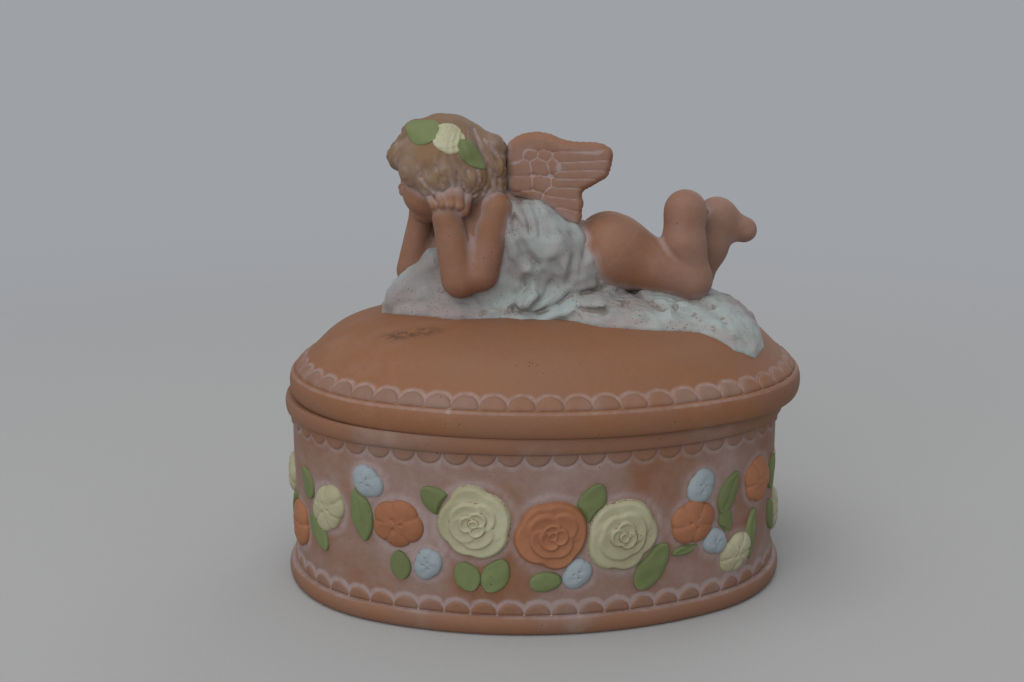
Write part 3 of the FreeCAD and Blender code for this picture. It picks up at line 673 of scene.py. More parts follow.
def blossomHeight(radius, relief, lobes, notch, groove, stretch):
    # Rounded lobes with shallow grooves between them and dimples round the middle
    first, lean, dimples = rng.uniform(0, 6.28), rng.uniform(0, 6.28), rng.uniform(0, 6.28)

    def height(x, y):
        r, a = np.hypot(x, y) / radius, np.arctan2(y, x)
        between = np.abs(np.cos(lobes * (a - first) / 2 + 0.35 * np.sin(a + lean)))
        t = r / ((1 - notch + notch * between ** 0.7) * (1 + stretch * np.cos(2 * (a - lean))))
        body = 0.92 * np.maximum(1 - np.clip(t, 0, 1) ** 3.0, 0) ** 0.5
        line = np.exp(-(between * r * 2 / lobes / 0.06) ** 2) * np.clip((t - 0.35) * 4, 0, 1)
        dimple = np.exp(-((r - 0.22) / 0.09) ** 2) * np.maximum(np.cos(3 * a + dimples), 0) ** 2
        bulge = 0.05 * np.cos(4.0 * a + 5.0 * r + first) * np.clip(r * 3 - 0.2, 0, 1)
        return np.where(t < 1, np.maximum(body + bulge * body - groove * line - 0.2 * dimple, 0.05)
            * relief, 0)
    return height


def leafHeight(length, width, relief, blunt=0.55, vein=0.03):
    # A flat leaf, blunt or pointed, with at most a faint vein
    def height(x, y):
        t = np.clip(x / length + 0.5, 0, 1)
        s = np.abs(y) / (width / 2 * np.sin(math.pi * t ** 0.88) ** blunt + 1e-6)
        line = vein * np.exp(-(y / 0.4) ** 2) * np.clip(t * (1 - t) * 6, 0, 1)
        swell = 0.9 + 0.06 * np.cos(x * 0.9 + y * 1.3)
        inside = (s < 1) & (np.abs(x) < length / 2)
        return np.where(inside, relief * (np.maximum(1 - s ** 4, 0) ** 0.5 * swell - line), 0)
    return height


def patch(height, reach, rays, rings, degrees=0, low=0.03):
    # A closed relief patch of (across, up, out) points: its outline is where the height falls to nothing
    angles = np.linspace(0, 2 * math.pi, rays, endpoint=False)
    steps = np.linspace(0.02, 1.0, 260) * reach
    field = height(np.cos(angles)[:, None] * steps, np.sin(angles)[:, None] * steps)
    edge = np.array([steps[np.nonzero(row > low)[0].max()] if (row > low).any() else reach * 0.05
        for row in field])
    edge = np.minimum(edge, np.minimum(np.roll(edge, 1), np.roll(edge, -1)) + reach * 0.09)
    shares = np.concatenate([np.linspace(0, 0.88, rings), (0.92, 0.95, 0.975, 0.99, 1.0)])[1:]
    r = edge[None, :] * shares[:, None]
    x, y = r * np.cos(angles), r * np.sin(angles)
    h = np.maximum(height(x, y), 0.02)
    h[-1] = 0.0
    c, s = math.cos(math.radians(degrees)), math.sin(math.radians(degrees))
    top = np.stack([x * c - y * s, x * s + y * c, h], -1).reshape(-1, 3)
    foot = top[-rays:].copy()
    foot[:, 2] = -garland["sink"]
    centre = np.array([[0, 0, float(height(np.zeros(1), np.zeros(1))[0])]])
    # Paint wears at the edge, and bare clay shows in the hollows, which are also darkened there as painted
    # shade; both found from the height against its neighbours'
    smooth = h.copy()
    for _ in range(5):
        beside = np.roll(smooth, 1, 1)[1:-1] + np.roll(smooth, -1, 1)[1:-1]
        smooth[1:-1] = (smooth[:-2] + smooth[2:] + beside) / 4
    wornAndShaded = np.clip((smooth - h) * 7, 0, 1) + np.clip((0.25 - h) * 1.2, 0, 0.25)
    wear = np.concatenate([[0.0], wornAndShaded.ravel(), np.full(rays, 0.5)])
    return np.concatenate([centre, top, foot]), ringFaces(rays, len(shares) + 1), wear


def tuckUnder(verts, along, height):
    # Sinks a leaf where a flower lies over it
    for s, z, r, _ in creamRoses + orangeRoses + orangeBlossoms + blueBlossoms:
        away = np.hypot(along + verts[:, 0] - s, height + verts[:, 1] - z)
        show = np.clip((away - r * 0.88) / 1.1, 0, 1)
        verts[:, 2] = -garland["sink"] + (verts[:, 2] + garland["sink"]) * show
    return verts


def snake(name):
    return "".join("_" + letter.lower() if letter.isupper() else letter for letter in name)


def makePatches(name, body, paint, patches):
    # Placed patches as one piece, whose node has its own name in snake case
    starts = np.cumsum([0] + [len(verts) for verts, _, _ in patches]).tolist()
    faces = [tuple(i + start for i in face) for (_, group, _), start in zip(patches, starts)
        for face in group]
    verts, wear = (np.concatenate([one[k] for one in patches]) for k in (0, 2))
    obj = makeMesh(name, verts, faces, finishes[paint], {"wear": wear})
    settle(obj, body, snake(name), snake(paint))


def makeSprigs(name, paint, sprigs):
    # Flowers or leaves of one kind bent to the wall, the second half of them half a turn round
    patches = []
    for turnRound in (0, 1):
        for along, high, verts, faces, wear in sprigs:
            flat, out = wallAt(along + turnRound * wallHalf + verts[:, 0])
            patches.append((np.column_stack([flat + out * verts[:, 2:3], high + verts[:, 1]]), faces, wear))
    makePatches(name, "box", paint, patches)


def roses(places):
    return [(s, z, *patch(roseHeight(r, garland["roseRelief"]), r * 1.15, 150, 46, turn))
        for s, z, r, turn in places]


def blossoms(places, relief, *shape):
    return [(s, z, *patch(blossomHeight(r, relief, *shape), r * 1.15, 96, 26, turn))
        for s, z, r, turn in places]


def leafSprigs(slimBelow=0.52):
    made = []
    for s, z, length, width, turn in leaves:
        blunt, vein = (0.75, 0.14) if width < slimBelow * length else (0.5, 0.02)
        height = leafHeight(length, width, garland["leafRelief"], blunt, vein)
        verts, faces, wear = patch(height, length * 0.56, 72, 14, turn)
        made.append((s, z, tuckUnder(verts, s, z), faces, wear))
    return made


print("garland")
rng = np.random.default_rng(garland["seed"])
makeSprigs("creamRoses", "creamPaint", roses(creamRoses))
makeSprigs("orangeRoses", "orangePaint", roses(orangeRoses))
makeSprigs("creamBlossoms", "creamPaint",
    blossoms(creamBlossoms, garland["blossomRelief"], 6, 0.10, 0.16, 0.14))
makeSprigs("orangeBlossoms", "orangePaint",
    blossoms(orangeBlossoms, garland["blossomRelief"], 5, 0.13, 0.10, 0.06))
makeSprigs("blueBlossoms", "bluePaint", blossoms(blueBlossoms, garland["knobRelief"], 3, 0.13, 0.0, 0.10))
makeSprigs("garlandLeaves", "greenPaint", leafSprigs())

# Pale slip round the flowers on the wall
wallPoints = pointsOf(boxBody.data)
wallAlong, wallLap = alongOval(wallPoints[:, 0], wallPoints[:, 1], wallIn)
halo = np.zeros(len(wallPoints))
for along, height, radius, _ in creamRoses + orangeRoses + creamBlossoms + orangeBlossoms + blueBlossoms:
    for turnRound in (0, 0.5):
        gap = (wallAlong - along - turnRound * wallLap + wallLap / 2) % wallLap - wallLap / 2
        away = np.hypot(gap, wallPoints[:, 2] - height) - radius
        halo = np.maximum(halo, np.exp(-((away - 0.2) / 0.9) ** 2) * 0.55)
layer(boxBody.data, "haze", halo * onWall(wallPoints))
settle(boxBody, "box", "box_body", "terracotta")
settle(lidShell, "lid", "lid_shell", "terracotta")


# Figure: every piece is a distance field, negative inside, that is skinned into a mesh

figure = {"length": 95.0, "grain": 0.40, "fineGrain": 0.27, "contact": 1.6, "seatBlend": 3.4, "farBlend": 2.4}


def at(x, y, z):
    # A place given in shares of the figure's length from the middle of the crown
    n = figure["length"]
    return np.array((x * n + lid["shift"], y * n, crownTop + z * n))


joints = {name: at(*share) for name, share in {
    "skull": (-0.264, -0.021, 0.375), "nape": (-0.165, -0.030, 0.300), "chest": (-0.045, -0.018, 0.186),
    "belly": (0.060, -0.018, 0.130), "hips": (0.155, -0.012, 0.122), "nearButtock": (0.168, -0.058, 0.165),
    "farButtock": (0.172, 0.047, 0.158), "nearShoulder": (-0.143, -0.100, 0.278),
    "nearElbow": (-0.180, -0.112, 0.115), "nearForearm": (-0.232, -0.114, 0.100),
    "nearWrist": (-0.264, -0.122, 0.262), "nearFist": (-0.250, -0.128, 0.318),
    "farShoulder": (-0.140, 0.072, 0.265), "farElbow": (-0.310, 0.100, 0.090),
    "farForearm": (-0.350, 0.104, 0.084), "farWrist": (-0.324, 0.086, 0.245),
    "farFist": (-0.328, 0.078, 0.292), "nearHip": (0.180, -0.060, 0.154),
    "nearKnee": (0.372, -0.084, 0.084), "nearCalf": (0.352, -0.082, 0.180),
    "nearAnkle": (0.355, -0.074, 0.266), "nearToe": (0.388, -0.010, 0.262), "farHip": (0.178, 0.052, 0.140),
    "farKnee": (0.402, 0.045, 0.070), "farCalf": (0.440, 0.048, 0.150), "farAnkle": (0.466, 0.052, 0.228),
    "farToe": (0.548, 0.054, 0.190)}.items()}


def knob(name, radius):
    # A station of a limb: place and radius
    return (*joints[name], radius)


def unit(v):
    return v / np.linalg.norm(v)


def ballField(p, centre, radius):
    return np.linalg.norm(p - centre, axis=-1) - radius


def boneField(p, start, end):
    # A tapered limb between two balls, each (x, y, z, radius)
    a, b = np.array(start[:3], float), np.array(end[:3], float)
    ba, pa, drop = b - a, p - a, start[3] - end[3]
    length = float(np.dot(ba, ba))
    side = length - drop * drop
    y = pa @ ba
    z = y - length
    x2 = np.maximum(np.einsum("...i,...i->...", pa, pa) * length - y * y, 0) * length
    y2, z2 = y * y * length, z * z * length
    k = np.sign(drop) * drop * drop * x2
    atEnd, atStart = np.sqrt(x2 + z2) / length - end[3], np.sqrt(x2 + y2) / length - start[3]
    middle = (np.sqrt(x2 * side / length) + y * drop) / length - start[3]
    return np.select([np.sign(z) * side * z2 > k, np.sign(y) * side * y2 < k], [atEnd, atStart], middle)


def eggField(p, centre, radii):
    q = p - centre
    k0 = np.linalg.norm(q / radii, axis=-1)
    k1 = np.linalg.norm(q / (np.array(radii) ** 2), axis=-1)
    return k0 * (k0 - 1) / np.maximum(k1, 1e-6)


def blend(a, b, reach):
    h = np.clip(0.5 + 0.5 * (b - a) / reach, 0, 1)
    return b + (a - b) * h - reach * h * (1 - h)


def blendAll(reach, *fields):
    total = fields[0]
    for field in fields[1:]:
        total = blend(total, field, reach)
    return total


def carve(a, b, reach):
    # What lies in both fields, its edge eased
    return -blend(-a, -b, reach)


def bones(p, reach, *stations):
    return blendAll(reach, *(boneField(p, a, b) for a, b in zip(stations, stations[1:])))


def ripple(p, scale, seed):
    # Smooth wandering from a few seeded waves, about -1 to 1
    waves = np.random.default_rng(seed)
    total = np.zeros(p.shape[:-1])
    for _ in range(6):
        direction = waves.normal(size=3)
        direction /= np.linalg.norm(direction)
        total += np.sin(p @ direction * (2 * math.pi / scale) * waves.uniform(0.7, 1.4)
            + waves.uniform(0, 6.28))
    return total / 3.5


def sampled(field, low, high, step, slab=24):
    # A field's values over a box, closed at its sides, and the box's corner
    axes = [np.arange(low[i] - 2 * step, high[i] + 2.5 * step, step) for i in range(3)]
    values = np.empty([len(a) for a in axes])
    for i in range(0, len(axes[0]), slab):
        values[i:i + slab] = field(np.stack(np.meshgrid(axes[0][i:i + slab], *axes[1:], indexing="ij"), -1))
    for side in (values, values.transpose(1, 0, 2), values.transpose(2, 0, 1)):
        side[[0, -1]] = np.maximum(side[[0, -1]], 0.01)
    return values, np.array([a[0] for a in axes])


def skin(field, low, high, step):
    # Surface of a field inside a box, as points and quads: one point in each cell that it crosses
    values, corner = sampled(field, low, high, step)
    cells = np.array(values.shape) - 1
    total, count, quads = np.zeros((int(np.prod(cells)), 3)), np.zeros(int(np.prod(cells))), []
    for axis in range(3):
        others = [a for a in range(3) if a != axis]
        along = np.moveaxis(values, axis, 0)
        hits = np.argwhere((along[:-1] < 0) != (along[1:] < 0))
        s, e = along[:-1][tuple(hits.T)], along[1:][tuple(hits.T)]
        crossing = np.zeros((len(hits), 3))
        crossing[:, axis] = hits[:, 0] + s / (s - e)
        crossing[:, others] = hits[:, 1:]
        ring = []
        for down in ((0, 0), (-1, 0), (-1, -1), (0, -1)):
            cell = np.zeros((len(hits), 3), int)
            cell[:, axis] = hits[:, 0]
            cell[:, others] = hits[:, 1:] + down
            flat = (cell[:, 0] * cells[1] + cell[:, 1]) * cells[2] + cell[:, 2]
            for k in range(3):
                total[:, k] += np.bincount(flat, crossing[:, k], len(count))
            count += np.bincount(flat, minlength=len(count))
            ring.append(flat)
        ring = np.stack(ring, -1)
        backward = (s >= 0) != (axis == 1)
        ring[backward] = ring[backward][:, ::-1]
        quads.append(ring)
    used = np.flatnonzero(count)
    numbers = np.full(len(count), -1)
    numbers[used] = np.arange(len(used))
    return total[used] / count[used, None] * step + corner, numbers[np.concatenate(quads)]


def biggestPart(verts, faces):
    # Keeps the one connected surface with the most points
    label, new = None, np.arange(len(verts))
    while label is None or (new != label).any():
        label = new
        lowest, new = label[faces].min(1), label.copy()
        for k in range(4):
            np.minimum.at(new, faces[:, k], lowest)
        new = new[new]
    keep = label == np.bincount(label).argmax()
    numbers = np.cumsum(keep) - 1
    return verts[keep], numbers[faces[keep[faces[:, 0]]]]


def gradient(field, p, reach=0.15):
    g = np.stack([field(p + d) - field(p - d) for d in np.eye(3) * reach], -1)
    return g / np.maximum(np.linalg.norm(g, axis=-1, keepdims=True), 1e-9)


coarse, fine = figure["grain"], figure["fineGrain"]


def makePiece(name, node, field, low, high, others, step=coarse, material="figureClay", cavity=1.0, wide=0.0,
        extra=None, around=None, slot="bare_clay"):
    # Skins a field, sets it on its surface and marks where slip lies: in hollows and against its neighbours
    around = around or field
    verts, faces = biggestPart(*skin(field, low, high, step))
    for _ in range(2):
        verts = verts - gradient(field, verts) * np.clip(field(verts), -step, step)[:, None] * 0.8
    normal, hollow, touch = gradient(field, verts), np.zeros(len(verts)), np.zeros(len(verts))
    for reach, gain in ((0.7, 1.1), (1.8, 0.9), (4.5, wide)):
        hollow += np.clip(1 - around(verts + normal * reach) / reach - 0.10, 0, 1) * gain
    for other in others.split():
        touch = np.maximum(touch, np.clip(1 - fields[other](verts) / figure["contact"], 0, 1))
    hollow = hollow * (np.abs(around(verts)) < 0.15)
    haze = np.clip(hollow * cavity + touch * 0.9 + (extra(verts) if extra else 0), 0, 1.2)
    # The hollows also darken the finish towards its worn tint, as painted shade
    layers = {"haze": haze, "wear": np.clip(hollow, 0, 1)}
    obj = makeMesh(name, verts, faces.tolist(), finishes[material], layers)
    settle(obj, "lid", node, slot)
    print(name, len(faces))


# Torso and limbs

def torsoField(p):
    trunk = bones(p, 3.0, knob("chest", 10.0), knob("belly", 9.5), knob("hips", 9.4))
    seat = blend(ballField(p, joints["nearButtock"], 8.5), ballField(p, joints["farButtock"], 8.5), 0.8)
    neck = boneField(p, knob("chest", 6.9), knob("nape", 5.8))
    return blend(blend(trunk, neck, 3.0), seat, 1.6)


def legField(p, side):
    ankleRadius, toeRadius = (4.2, 3.1) if side == "near" else (4.3, 3.3)
    toe, ankle = joints[side + "Toe"], joints[side + "Ankle"]
    thigh = boneField(p, knob(side + "Hip", 8.1), knob(side + "Knee", 5.4))
    shin = bones(p, 2.5, knob(side + "Knee", 5.2), knob(side + "Calf", 5.1), (*ankle, ankleRadius))
    heel = ballField(p, ankle + np.array((0.1, 0, 0.0)), ankleRadius)
    sole = unit(toe - ankle)
    across = unit(np.cross(sole, (0, 0, 1.0)))
    foot = boneField(p, (*(ankle - (0, 0, 0.7)), ankleRadius - 0.2), (*(toe - sole * 0.6), toeRadius))
    toes = [ballField(p, toe + across * k * 1.05 + sole * (1.2 - 0.25 * abs(k + 1)), 1.0)
        for k in (-1.4, -0.4, 0.5, 1.3)]
    foot = blend(foot, blendAll(0.25, *toes), 1.4)
    return blend(blend(thigh, shin, 1.1), blend(foot, heel, 2.0), 3.4)


def nearLeg(p):
    return legField(p, "near")


def farLeg(p):
    return legField(p, "far")


def lowerBody(p):
    return blend(blend(torsoField(p), nearLeg(p), figure["seatBlend"]), farLeg(p), figure["farBlend"])


def torsoSkin(p):
    # The torso runs into the legs without a step and stops just inside them
    return np.maximum(lowerBody(p) + 0.04, (torsoField(p) - np.minimum(nearLeg(p), farLeg(p))) * 0.5 - 0.6)


def legSkin(leg, reach):
    def skinned(p):
        trunk, limb = torsoField(p), leg(p)
        return np.maximum(blend(trunk, limb, figure[reach]), (limb - trunk) * 0.5 - 0.2)
    return skinned


# Each finger from its root to its tip, the thumb last
fingers = {"near": [(-25.4, -13.6, 96.6, -26.8, -12.2, 99.2), (-23.5, -14.8, 97.0, -24.6, -13.4, 100.2),
        (-21.5, -15.1, 97.0, -22.3, -13.9, 100.4), (-19.6, -14.9, 96.6, -20.0, -14.0, 99.6),
        (-18.6, -13.6, 95.2, -17.4, -12.6, 99.4)],
    "far": [(-31.4, 6.6, 95.2, -33.2, 5.0, 98.6), (-30.0, 8.6, 95.6, -31.6, 7.4, 99.4),
        (-28.2, 10.0, 95.8, -29.4, 9.0, 99.8), (-27.4, 4.4, 94.6, -29.6, 3.0, 97.4)]}


def handField(p, side):
    palm = boneField(p, knob(side + "Wrist", 3.1), knob(side + "Fist", 3.3))
    rows = [boneField(p, (*row[:3], 1.25), (*row[3:], 1.05)) for row in fingers[side][:-1]]
    root, tip = fingers[side][-1][:3], fingers[side][-1][3:]
    return blend(blend(palm, blendAll(0.3, *rows), 0.9), boneField(p, (*root, 1.4), (*tip, 1.15)), 0.5)


def nearArm(p):
    upper = boneField(p, knob("nearShoulder", 4.4), knob("nearElbow", 4.6))
    lower = boneField(p, knob("nearForearm", 4.7), knob("nearWrist", 3.6))
    web = boneField(p, (*at(-0.205, -0.100, 0.13), 3.4), (*at(-0.200, -0.078, 0.28), 2.6))
    return blend(blend(blend(upper, lower, 1.8), web, 2.2), handField(p, "near"), 1.2)


def farArm(p):
    upper = boneField(p, knob("farShoulder", 4.7), knob("farElbow", 4.4))
    lower = boneField(p, knob("farForearm", 4.5), knob("farWrist", 3.2))
    return blend(blend(upper, lower, 2.6), handField(p, "far"), 1.2)


# Head: a calm child's face on plain proportions, looking along the lid

head = {"forward": (-0.942, 0.232, -0.240), "skullBlend": 3.0, "cheekBlend": 2.6, "chinBlend": 2.2,
    "socketBlend": 1.2, "noseBlend": 0.9, "lipBlend": 0.35, "eyelidEdge": 1.25}
# Each egg of the head: forward, aside and up from the middle of the skull, then three radii
headEggs = {"skull": (0, 0, 0, 11.2, 10.6, 11.2), "jaw": (3.0, 0, -4.0, 8.4, 8.5, 8.6),
    "cheek": (6.6, 4.7, -5.2, 3.9, 3.9, 3.7), "chin": (8.3, 0, -9.6, 2.8, 2.9, 2.5),
    "socket": (11.3, 3.7, -1.0, 2.3, 2.1, 1.5), "eye": (8.7, 3.6, -1.1, 2.0, 2.0, 1.9),
    "eyelid": (8.7, 3.6, -1.1, 2.3, 2.35, 2.2), "nostril": (11.3, 1.1, -3.7, 0.85, 0.75, 0.65)}
# Each rod of the face: the same places and the radius of either end
noseRod = ((10.4, 0, -0.8, 0.8), (11.9, 0, -3.4, 1.15))
lipRods = [((11.35, 0, -5.75, 0.55), (10.75, 1.5, -5.95, 0.3)),
    ((11.35, 0, -5.75, 0.55), (10.75, -1.5, -5.95, 0.3)),
    ((11.15, -0.7, -6.75, 0.58), (11.15, 0.7, -6.75, 0.58))]
forward = unit(np.array(head["forward"]))
aside = unit(np.cross(forward, (0, 0, 1.0)))
headTurn = np.stack([forward, aside, np.cross(aside, forward)])


def headField(p):
    q = (p - joints["skull"]) @ headTurn.T
    mirrored = q * (1, 0, 1) + np.abs(q) * (0, 1, 0)

    def egg(name):
        # On the middle plane once, beside it on both sides
        row = headEggs[name]
        return eggField(mirrored if row[1] else q, np.array(row[:3]), row[3:])
    skull = blend(egg("skull"), egg("jaw"), head["skullBlend"])
    skull = blend(skull, egg("cheek"), head["cheekBlend"])
    skull = blend(skull, egg("chin"), head["chinBlend"])
    skull = carve(skull, -egg("socket"), head["socketBlend"])
    eyelid = np.maximum(egg("eyelid"), -(q[..., 2] + head["eyelidEdge"]) * 0.95)
    skull = blend(blend(skull, egg("eye"), 0.25), eyelid, 0.3)
    skull = blend(skull, blend(boneField(q, *noseRod), egg("nostril"), 0.8), head["noseBlend"])
    return blend(skull, blendAll(0.25, *(boneField(q, *rod) for rod in lipRods)), head["lipBlend"])


hair = {"cap": (13.1, 12.7, 13.2), "faceSlope": (0.80, -0.55), "faceOut": 5.4, "whorl": (-0.35, 0.0, 0.94),
    "strands": 20, "wave": 0.20, "curlBlend": 2.2, "coil": 0.13, "coilPitch": 2.6, "rough": 0.22}
# Curls as places and radii
curls = [(at(*row[:3]), row[3]) for row in (
    (-0.150, -0.075, 0.375, 3.9), (-0.148, -0.070, 0.335, 3.6), (-0.150, -0.020, 0.395, 4.0),
    (-0.150, 0.030, 0.365, 4.0), (-0.374, -0.021, 0.405, 4.0), (-0.335, -0.030, 0.455, 4.2),
    (-0.345, -0.095, 0.375, 3.9), (-0.338, 0.055, 0.380, 4.0), (-0.272, -0.128, 0.360, 3.6),
    (-0.205, -0.120, 0.352, 3.8), (-0.165, -0.085, 0.320, 3.6), (-0.150, -0.060, 0.425, 4.0),
    (-0.262, 0.085, 0.360, 4.0), (-0.175, 0.072, 0.345, 4.0), (-0.305, -0.118, 0.345, 3.0),
    (-0.235, 0.118, 0.385, 3.4))]


def onSheet(points):
    # From a drawing of the near side, in steps of a fine grid, to millimetres
    return np.array([(-36.7 + (x - 100) / 25.8, 113.1 - (z - 260) / 25.3) for x, z in points])


# Each drawn line: its points, width in mm, depth in mm
hairLines = [([(640, 240), (672, 330), (700, 400), (735, 470), (780, 520)], 0.5, 0.5),
    ([(530, 480), (560, 540), (575, 605)], 0.4, 0.4), ([(590, 470), (615, 540), (630, 612)], 0.4, 0.4),
    ([(650, 470), (668, 540), (690, 610)], 0.4, 0.4), ([(470, 470), (492, 520), (500, 580)], 0.4, 0.3),
    ([(300, 480), (330, 540), (385, 590)], 0.45, 0.35), ([(700, 300), (760, 360), (800, 430)], 0.45, 0.35),
    ([(400, 440), (420, 500), (440, 560)], 0.4, 0.3), ([(720, 480), (750, 560), (770, 610)], 0.4, 0.35)]


def lineAway(x, z, line):
    # Squared distance to a broken line in the side view
    best = np.full(x.shape, 1e9)
    for a, b in zip(line, line[1:]):
        d = b - a
        t = np.clip(((x - a[0]) * d[0] + (z - a[1]) * d[1]) / (d @ d), 0, 1)
        best = np.minimum(best, (x - a[0] - t * d[0]) ** 2 + (z - a[1] - t * d[1]) ** 2)
    return best


def etched(p, lines):
    # Drawn lines as a change of the near side's surface
    total = np.zeros(p.shape[:-1])
    for points, width, depth in lines:
        total = total + depth * np.exp(-lineAway(p[..., 0], p[..., 2], onSheet(points)) / width ** 2)
    return total * nearSide(p)


def nearSide(p):
    # 1 on the near side and 0 on the far one
    return 1 / (1 + np.exp((p[..., 1] + 3.0) * 1.2))


def hairField(p):
    q = (p - joints["skull"]) @ headTurn.T
    ahead, up = hair["faceSlope"]
    face = q[..., 0] * ahead + q[..., 2] * up - hair["faceOut"]
    total = carve(eggField(q, np.zeros(3), hair["cap"]), face, 1.6)
    for centre, radius in curls:
        total = blend(total, ballField(p, centre, radius * 0.96), hair["curlBlend"])
    # Locks run down from a whorl at the crown and wave as they go
    whorl = unit(np.array(hair["whorl"]))
    polar = np.arccos(np.clip(q @ whorl / np.maximum(np.linalg.norm(q, axis=-1), 1e-6), -1, 1))
    spin = np.arctan2(q[..., 1], q @ np.cross(whorl, (0, 1.0, 0)))
    phase = spin * hair["strands"] + 2.4 * np.sin(polar * 4.2 + spin * 2) + 0.8 * ripple(p, 9.0, 5)
    depth = hair["wave"] * np.clip(polar * 1.3 - 0.25, 0.25, 1)
    total = total + depth * (0.55 * np.cos(phase) ** 2 + 0.22 * np.cos(phase * 2.3 + polar * 6) - 0.3)
    for centre, radius in curls:
        away, out = p - centre, unit(centre - joints["skull"])
        flat = away - (away @ out)[..., None] * out
        a = np.arctan2(flat @ np.cross(out, (0, 0, 1.0)), flat[..., 2])
        coil = np.cos(a + np.linalg.norm(flat, axis=-1) * hair["coilPitch"])
        near = np.clip((radius * 1.15 - np.linalg.norm(away, axis=-1)) * 0.9 + 0.4, 0, 1)
        total = total - hair["coil"] * coil * near
    return total + hair["rough"] * ripple(p, 5.5, 8) + etched(p, hairLines)


# Wings: a flat blade with rounded covert feathers and long flight feathers, drawn on the same grid

wing = {"thick": 1.15, "rise": 0.42, "tilt": -0.168, "root": -4.9, "tiltAt": -8.6, "mirror": -0.018,
    "drop": 0.026}
wingOutline = [(842, 470), (850, 345), (900, 296), (960, 268), (1040, 258), (1120, 270), (1190, 300),
    (1260, 315), (1340, 318), (1420, 322), (1480, 345), (1508, 385), (1500, 450), (1480, 520), (1440, 550),
    (1380, 585), (1318, 628), (1328, 690), (1318, 745), (1318, 785), (1296, 822), (1262, 832), (1200, 800),
    (1120, 735), (1040, 690), (940, 660), (860, 640), (838, 560)]
# Each feather: its middle line and its half width
coverts = [((905, 478), (955, 474), 60), ((1036, 462), (1066, 472), 58), ((900, 572), (962, 574), 54),
    ((1050, 570), (1084, 578), 52), ((1135, 455), (1150, 470), 50),
    ((890, 410), (950, 325), (1100, 312), (1400, 348), 62), ((980, 390), (1000, 395), 44),
    ((1075, 400), (1090, 405), 40)]
flights = [((1170, 412), (1470, 392), 42), ((1175, 470), (1462, 455), 36), ((1175, 520), (1440, 515), 36),
    ((1150, 568), (1385, 566), 36), ((1120, 622), (1296, 636), 40), ((1100, 680), (1298, 704), 42),
    ((1180, 752), (1280, 786), 44), ((960, 640), (1040, 650), 30)]
wingFeathers = [(onSheet(feather[:-1]), feather[-1] / 25.5) for feather in coverts + flights]


def smoothLoop(points, count):
    # A rounder closed outline through the points
    result = []
    for a, b, c, d in zip(*(np.roll(points, shift, 0) for shift in (1, 0, -1, -2))):
        for t in np.arange(count) / count:
            result.append(0.5 * (2 * b + (c - a) * t + (2 * a - 5 * b + 4 * c - d) * t * t
                + (3 * b - a - 3 * c + d) * t ** 3))
    return np.array(result + result[:1])


wingLoop = smoothLoop(onSheet(wingOutline), 3)


def wingEdge(x, z):
    # Signed distance to the wing's outline, negative inside
    inside = np.zeros(x.shape, bool)
    for a, b in zip(wingLoop, wingLoop[1:]):
        cut = a[0] + (z - a[1]) * (b[0] - a[0]) / ((b[1] - a[1]) or 1e-9)
        inside ^= ((a[1] > z) != (b[1] > z)) & (x < cut)
    return np.where(inside, -1, 1) * np.sqrt(lineAway(x, z, wingLoop))


def wingRelief(x, z):
    # Height of the feathers, and by how much the highest one leads
    feathers, second = np.zeros(x.shape), np.zeros(x.shape)
    for line, r in wingFeathers:
        one = np.sqrt(np.maximum(1 - (np.sqrt(lineAway(x, z, line)) / r) ** 3.2, 0))
        second = np.maximum(second, np.minimum(feathers, one))
        feathers = np.maximum(feathers, one)
    return feathers, feathers - second


def nearWing(p):
    x, y, z = p[..., 0], p[..., 1], p[..., 2]
    edge = wingEdge(x, z)
    ease = np.sqrt(np.maximum(1 - (1 - np.clip(-edge / 2.0, 0, 1)) ** 2.2, 0))
    thick = (wing["thick"] + wing["rise"] * wingRelief(x, z)[0]) * ease
    flat = np.abs(y - wing["root"] - wing["tilt"] * (x - wing["tiltAt"]))
    return np.where(edge > 0, np.hypot(np.maximum(edge, 0), flat * 0.9), (flat - thick) * 0.8)


def mirroredWing(p):
    middle, drop = wing["mirror"] * figure["length"], wing["drop"] * figure["length"]
    return p * (1, -1, 1) + (0, 2 * middle, drop)


def farWing(p):
    return nearWing(mirroredWing(p))


def grooveHaze(p):
    # Pale where two feathers meet, away from the wing's edge
    inner = np.clip(-wingEdge(p[..., 0], p[..., 2]) - 0.7, 0, 1)
    return np.clip(0.95 - wingRelief(p[..., 0], p[..., 2])[1] / 0.30, 0, 0.85) * inner


# Drapery: a folded cloth laid over the dome, with rolls beside the figure and a sash round it

drape = {"edge": 1.3, "crest": 7.4, "sash": 1.5, "under": 0.5, "least": 0.5, "hem": 0.45,
    "crease": 0.95, "roll": 1.25, "farFold": 0.5}
# Planes where the sash ends: slope and place along x, then along z
sashEnds = ((0.85, 10.9, 0.53, 89.0), (-0.9, -12.5, 0.3, 88.0))
# Rolls of cloth beside and under the figure, in mm: places and radii
drapeRods = {"shoulder": [(-8.2, -8.2, 93.6, 3.6), (1.5, -8.6, 85.0, 5.6), (7.5, -8.2, 78.5, 6.4)],
    "mound": [(-34.0, -1.0, 71.5, 3.6), (-25.2, -2.5, 81.4, 2.4), (-14.0, -2.0, 83.0, 4.6)],
    "moundCore": [(-28.0, 0.0, 73.5, 4.6), (-14.0, -2.0, 76.0, 6.5)],
    "behind": [(-6.0, -8.0, 90.0, 3.6), (-9.2, -6.0, 77.5, 4.8), (-14.0, -4.0, 73.0, 4.0)],
    "beside": [(-2.0, -11.0, 72.5, 3.4), (13.0, -10.5, 71.5, 3.4)]}
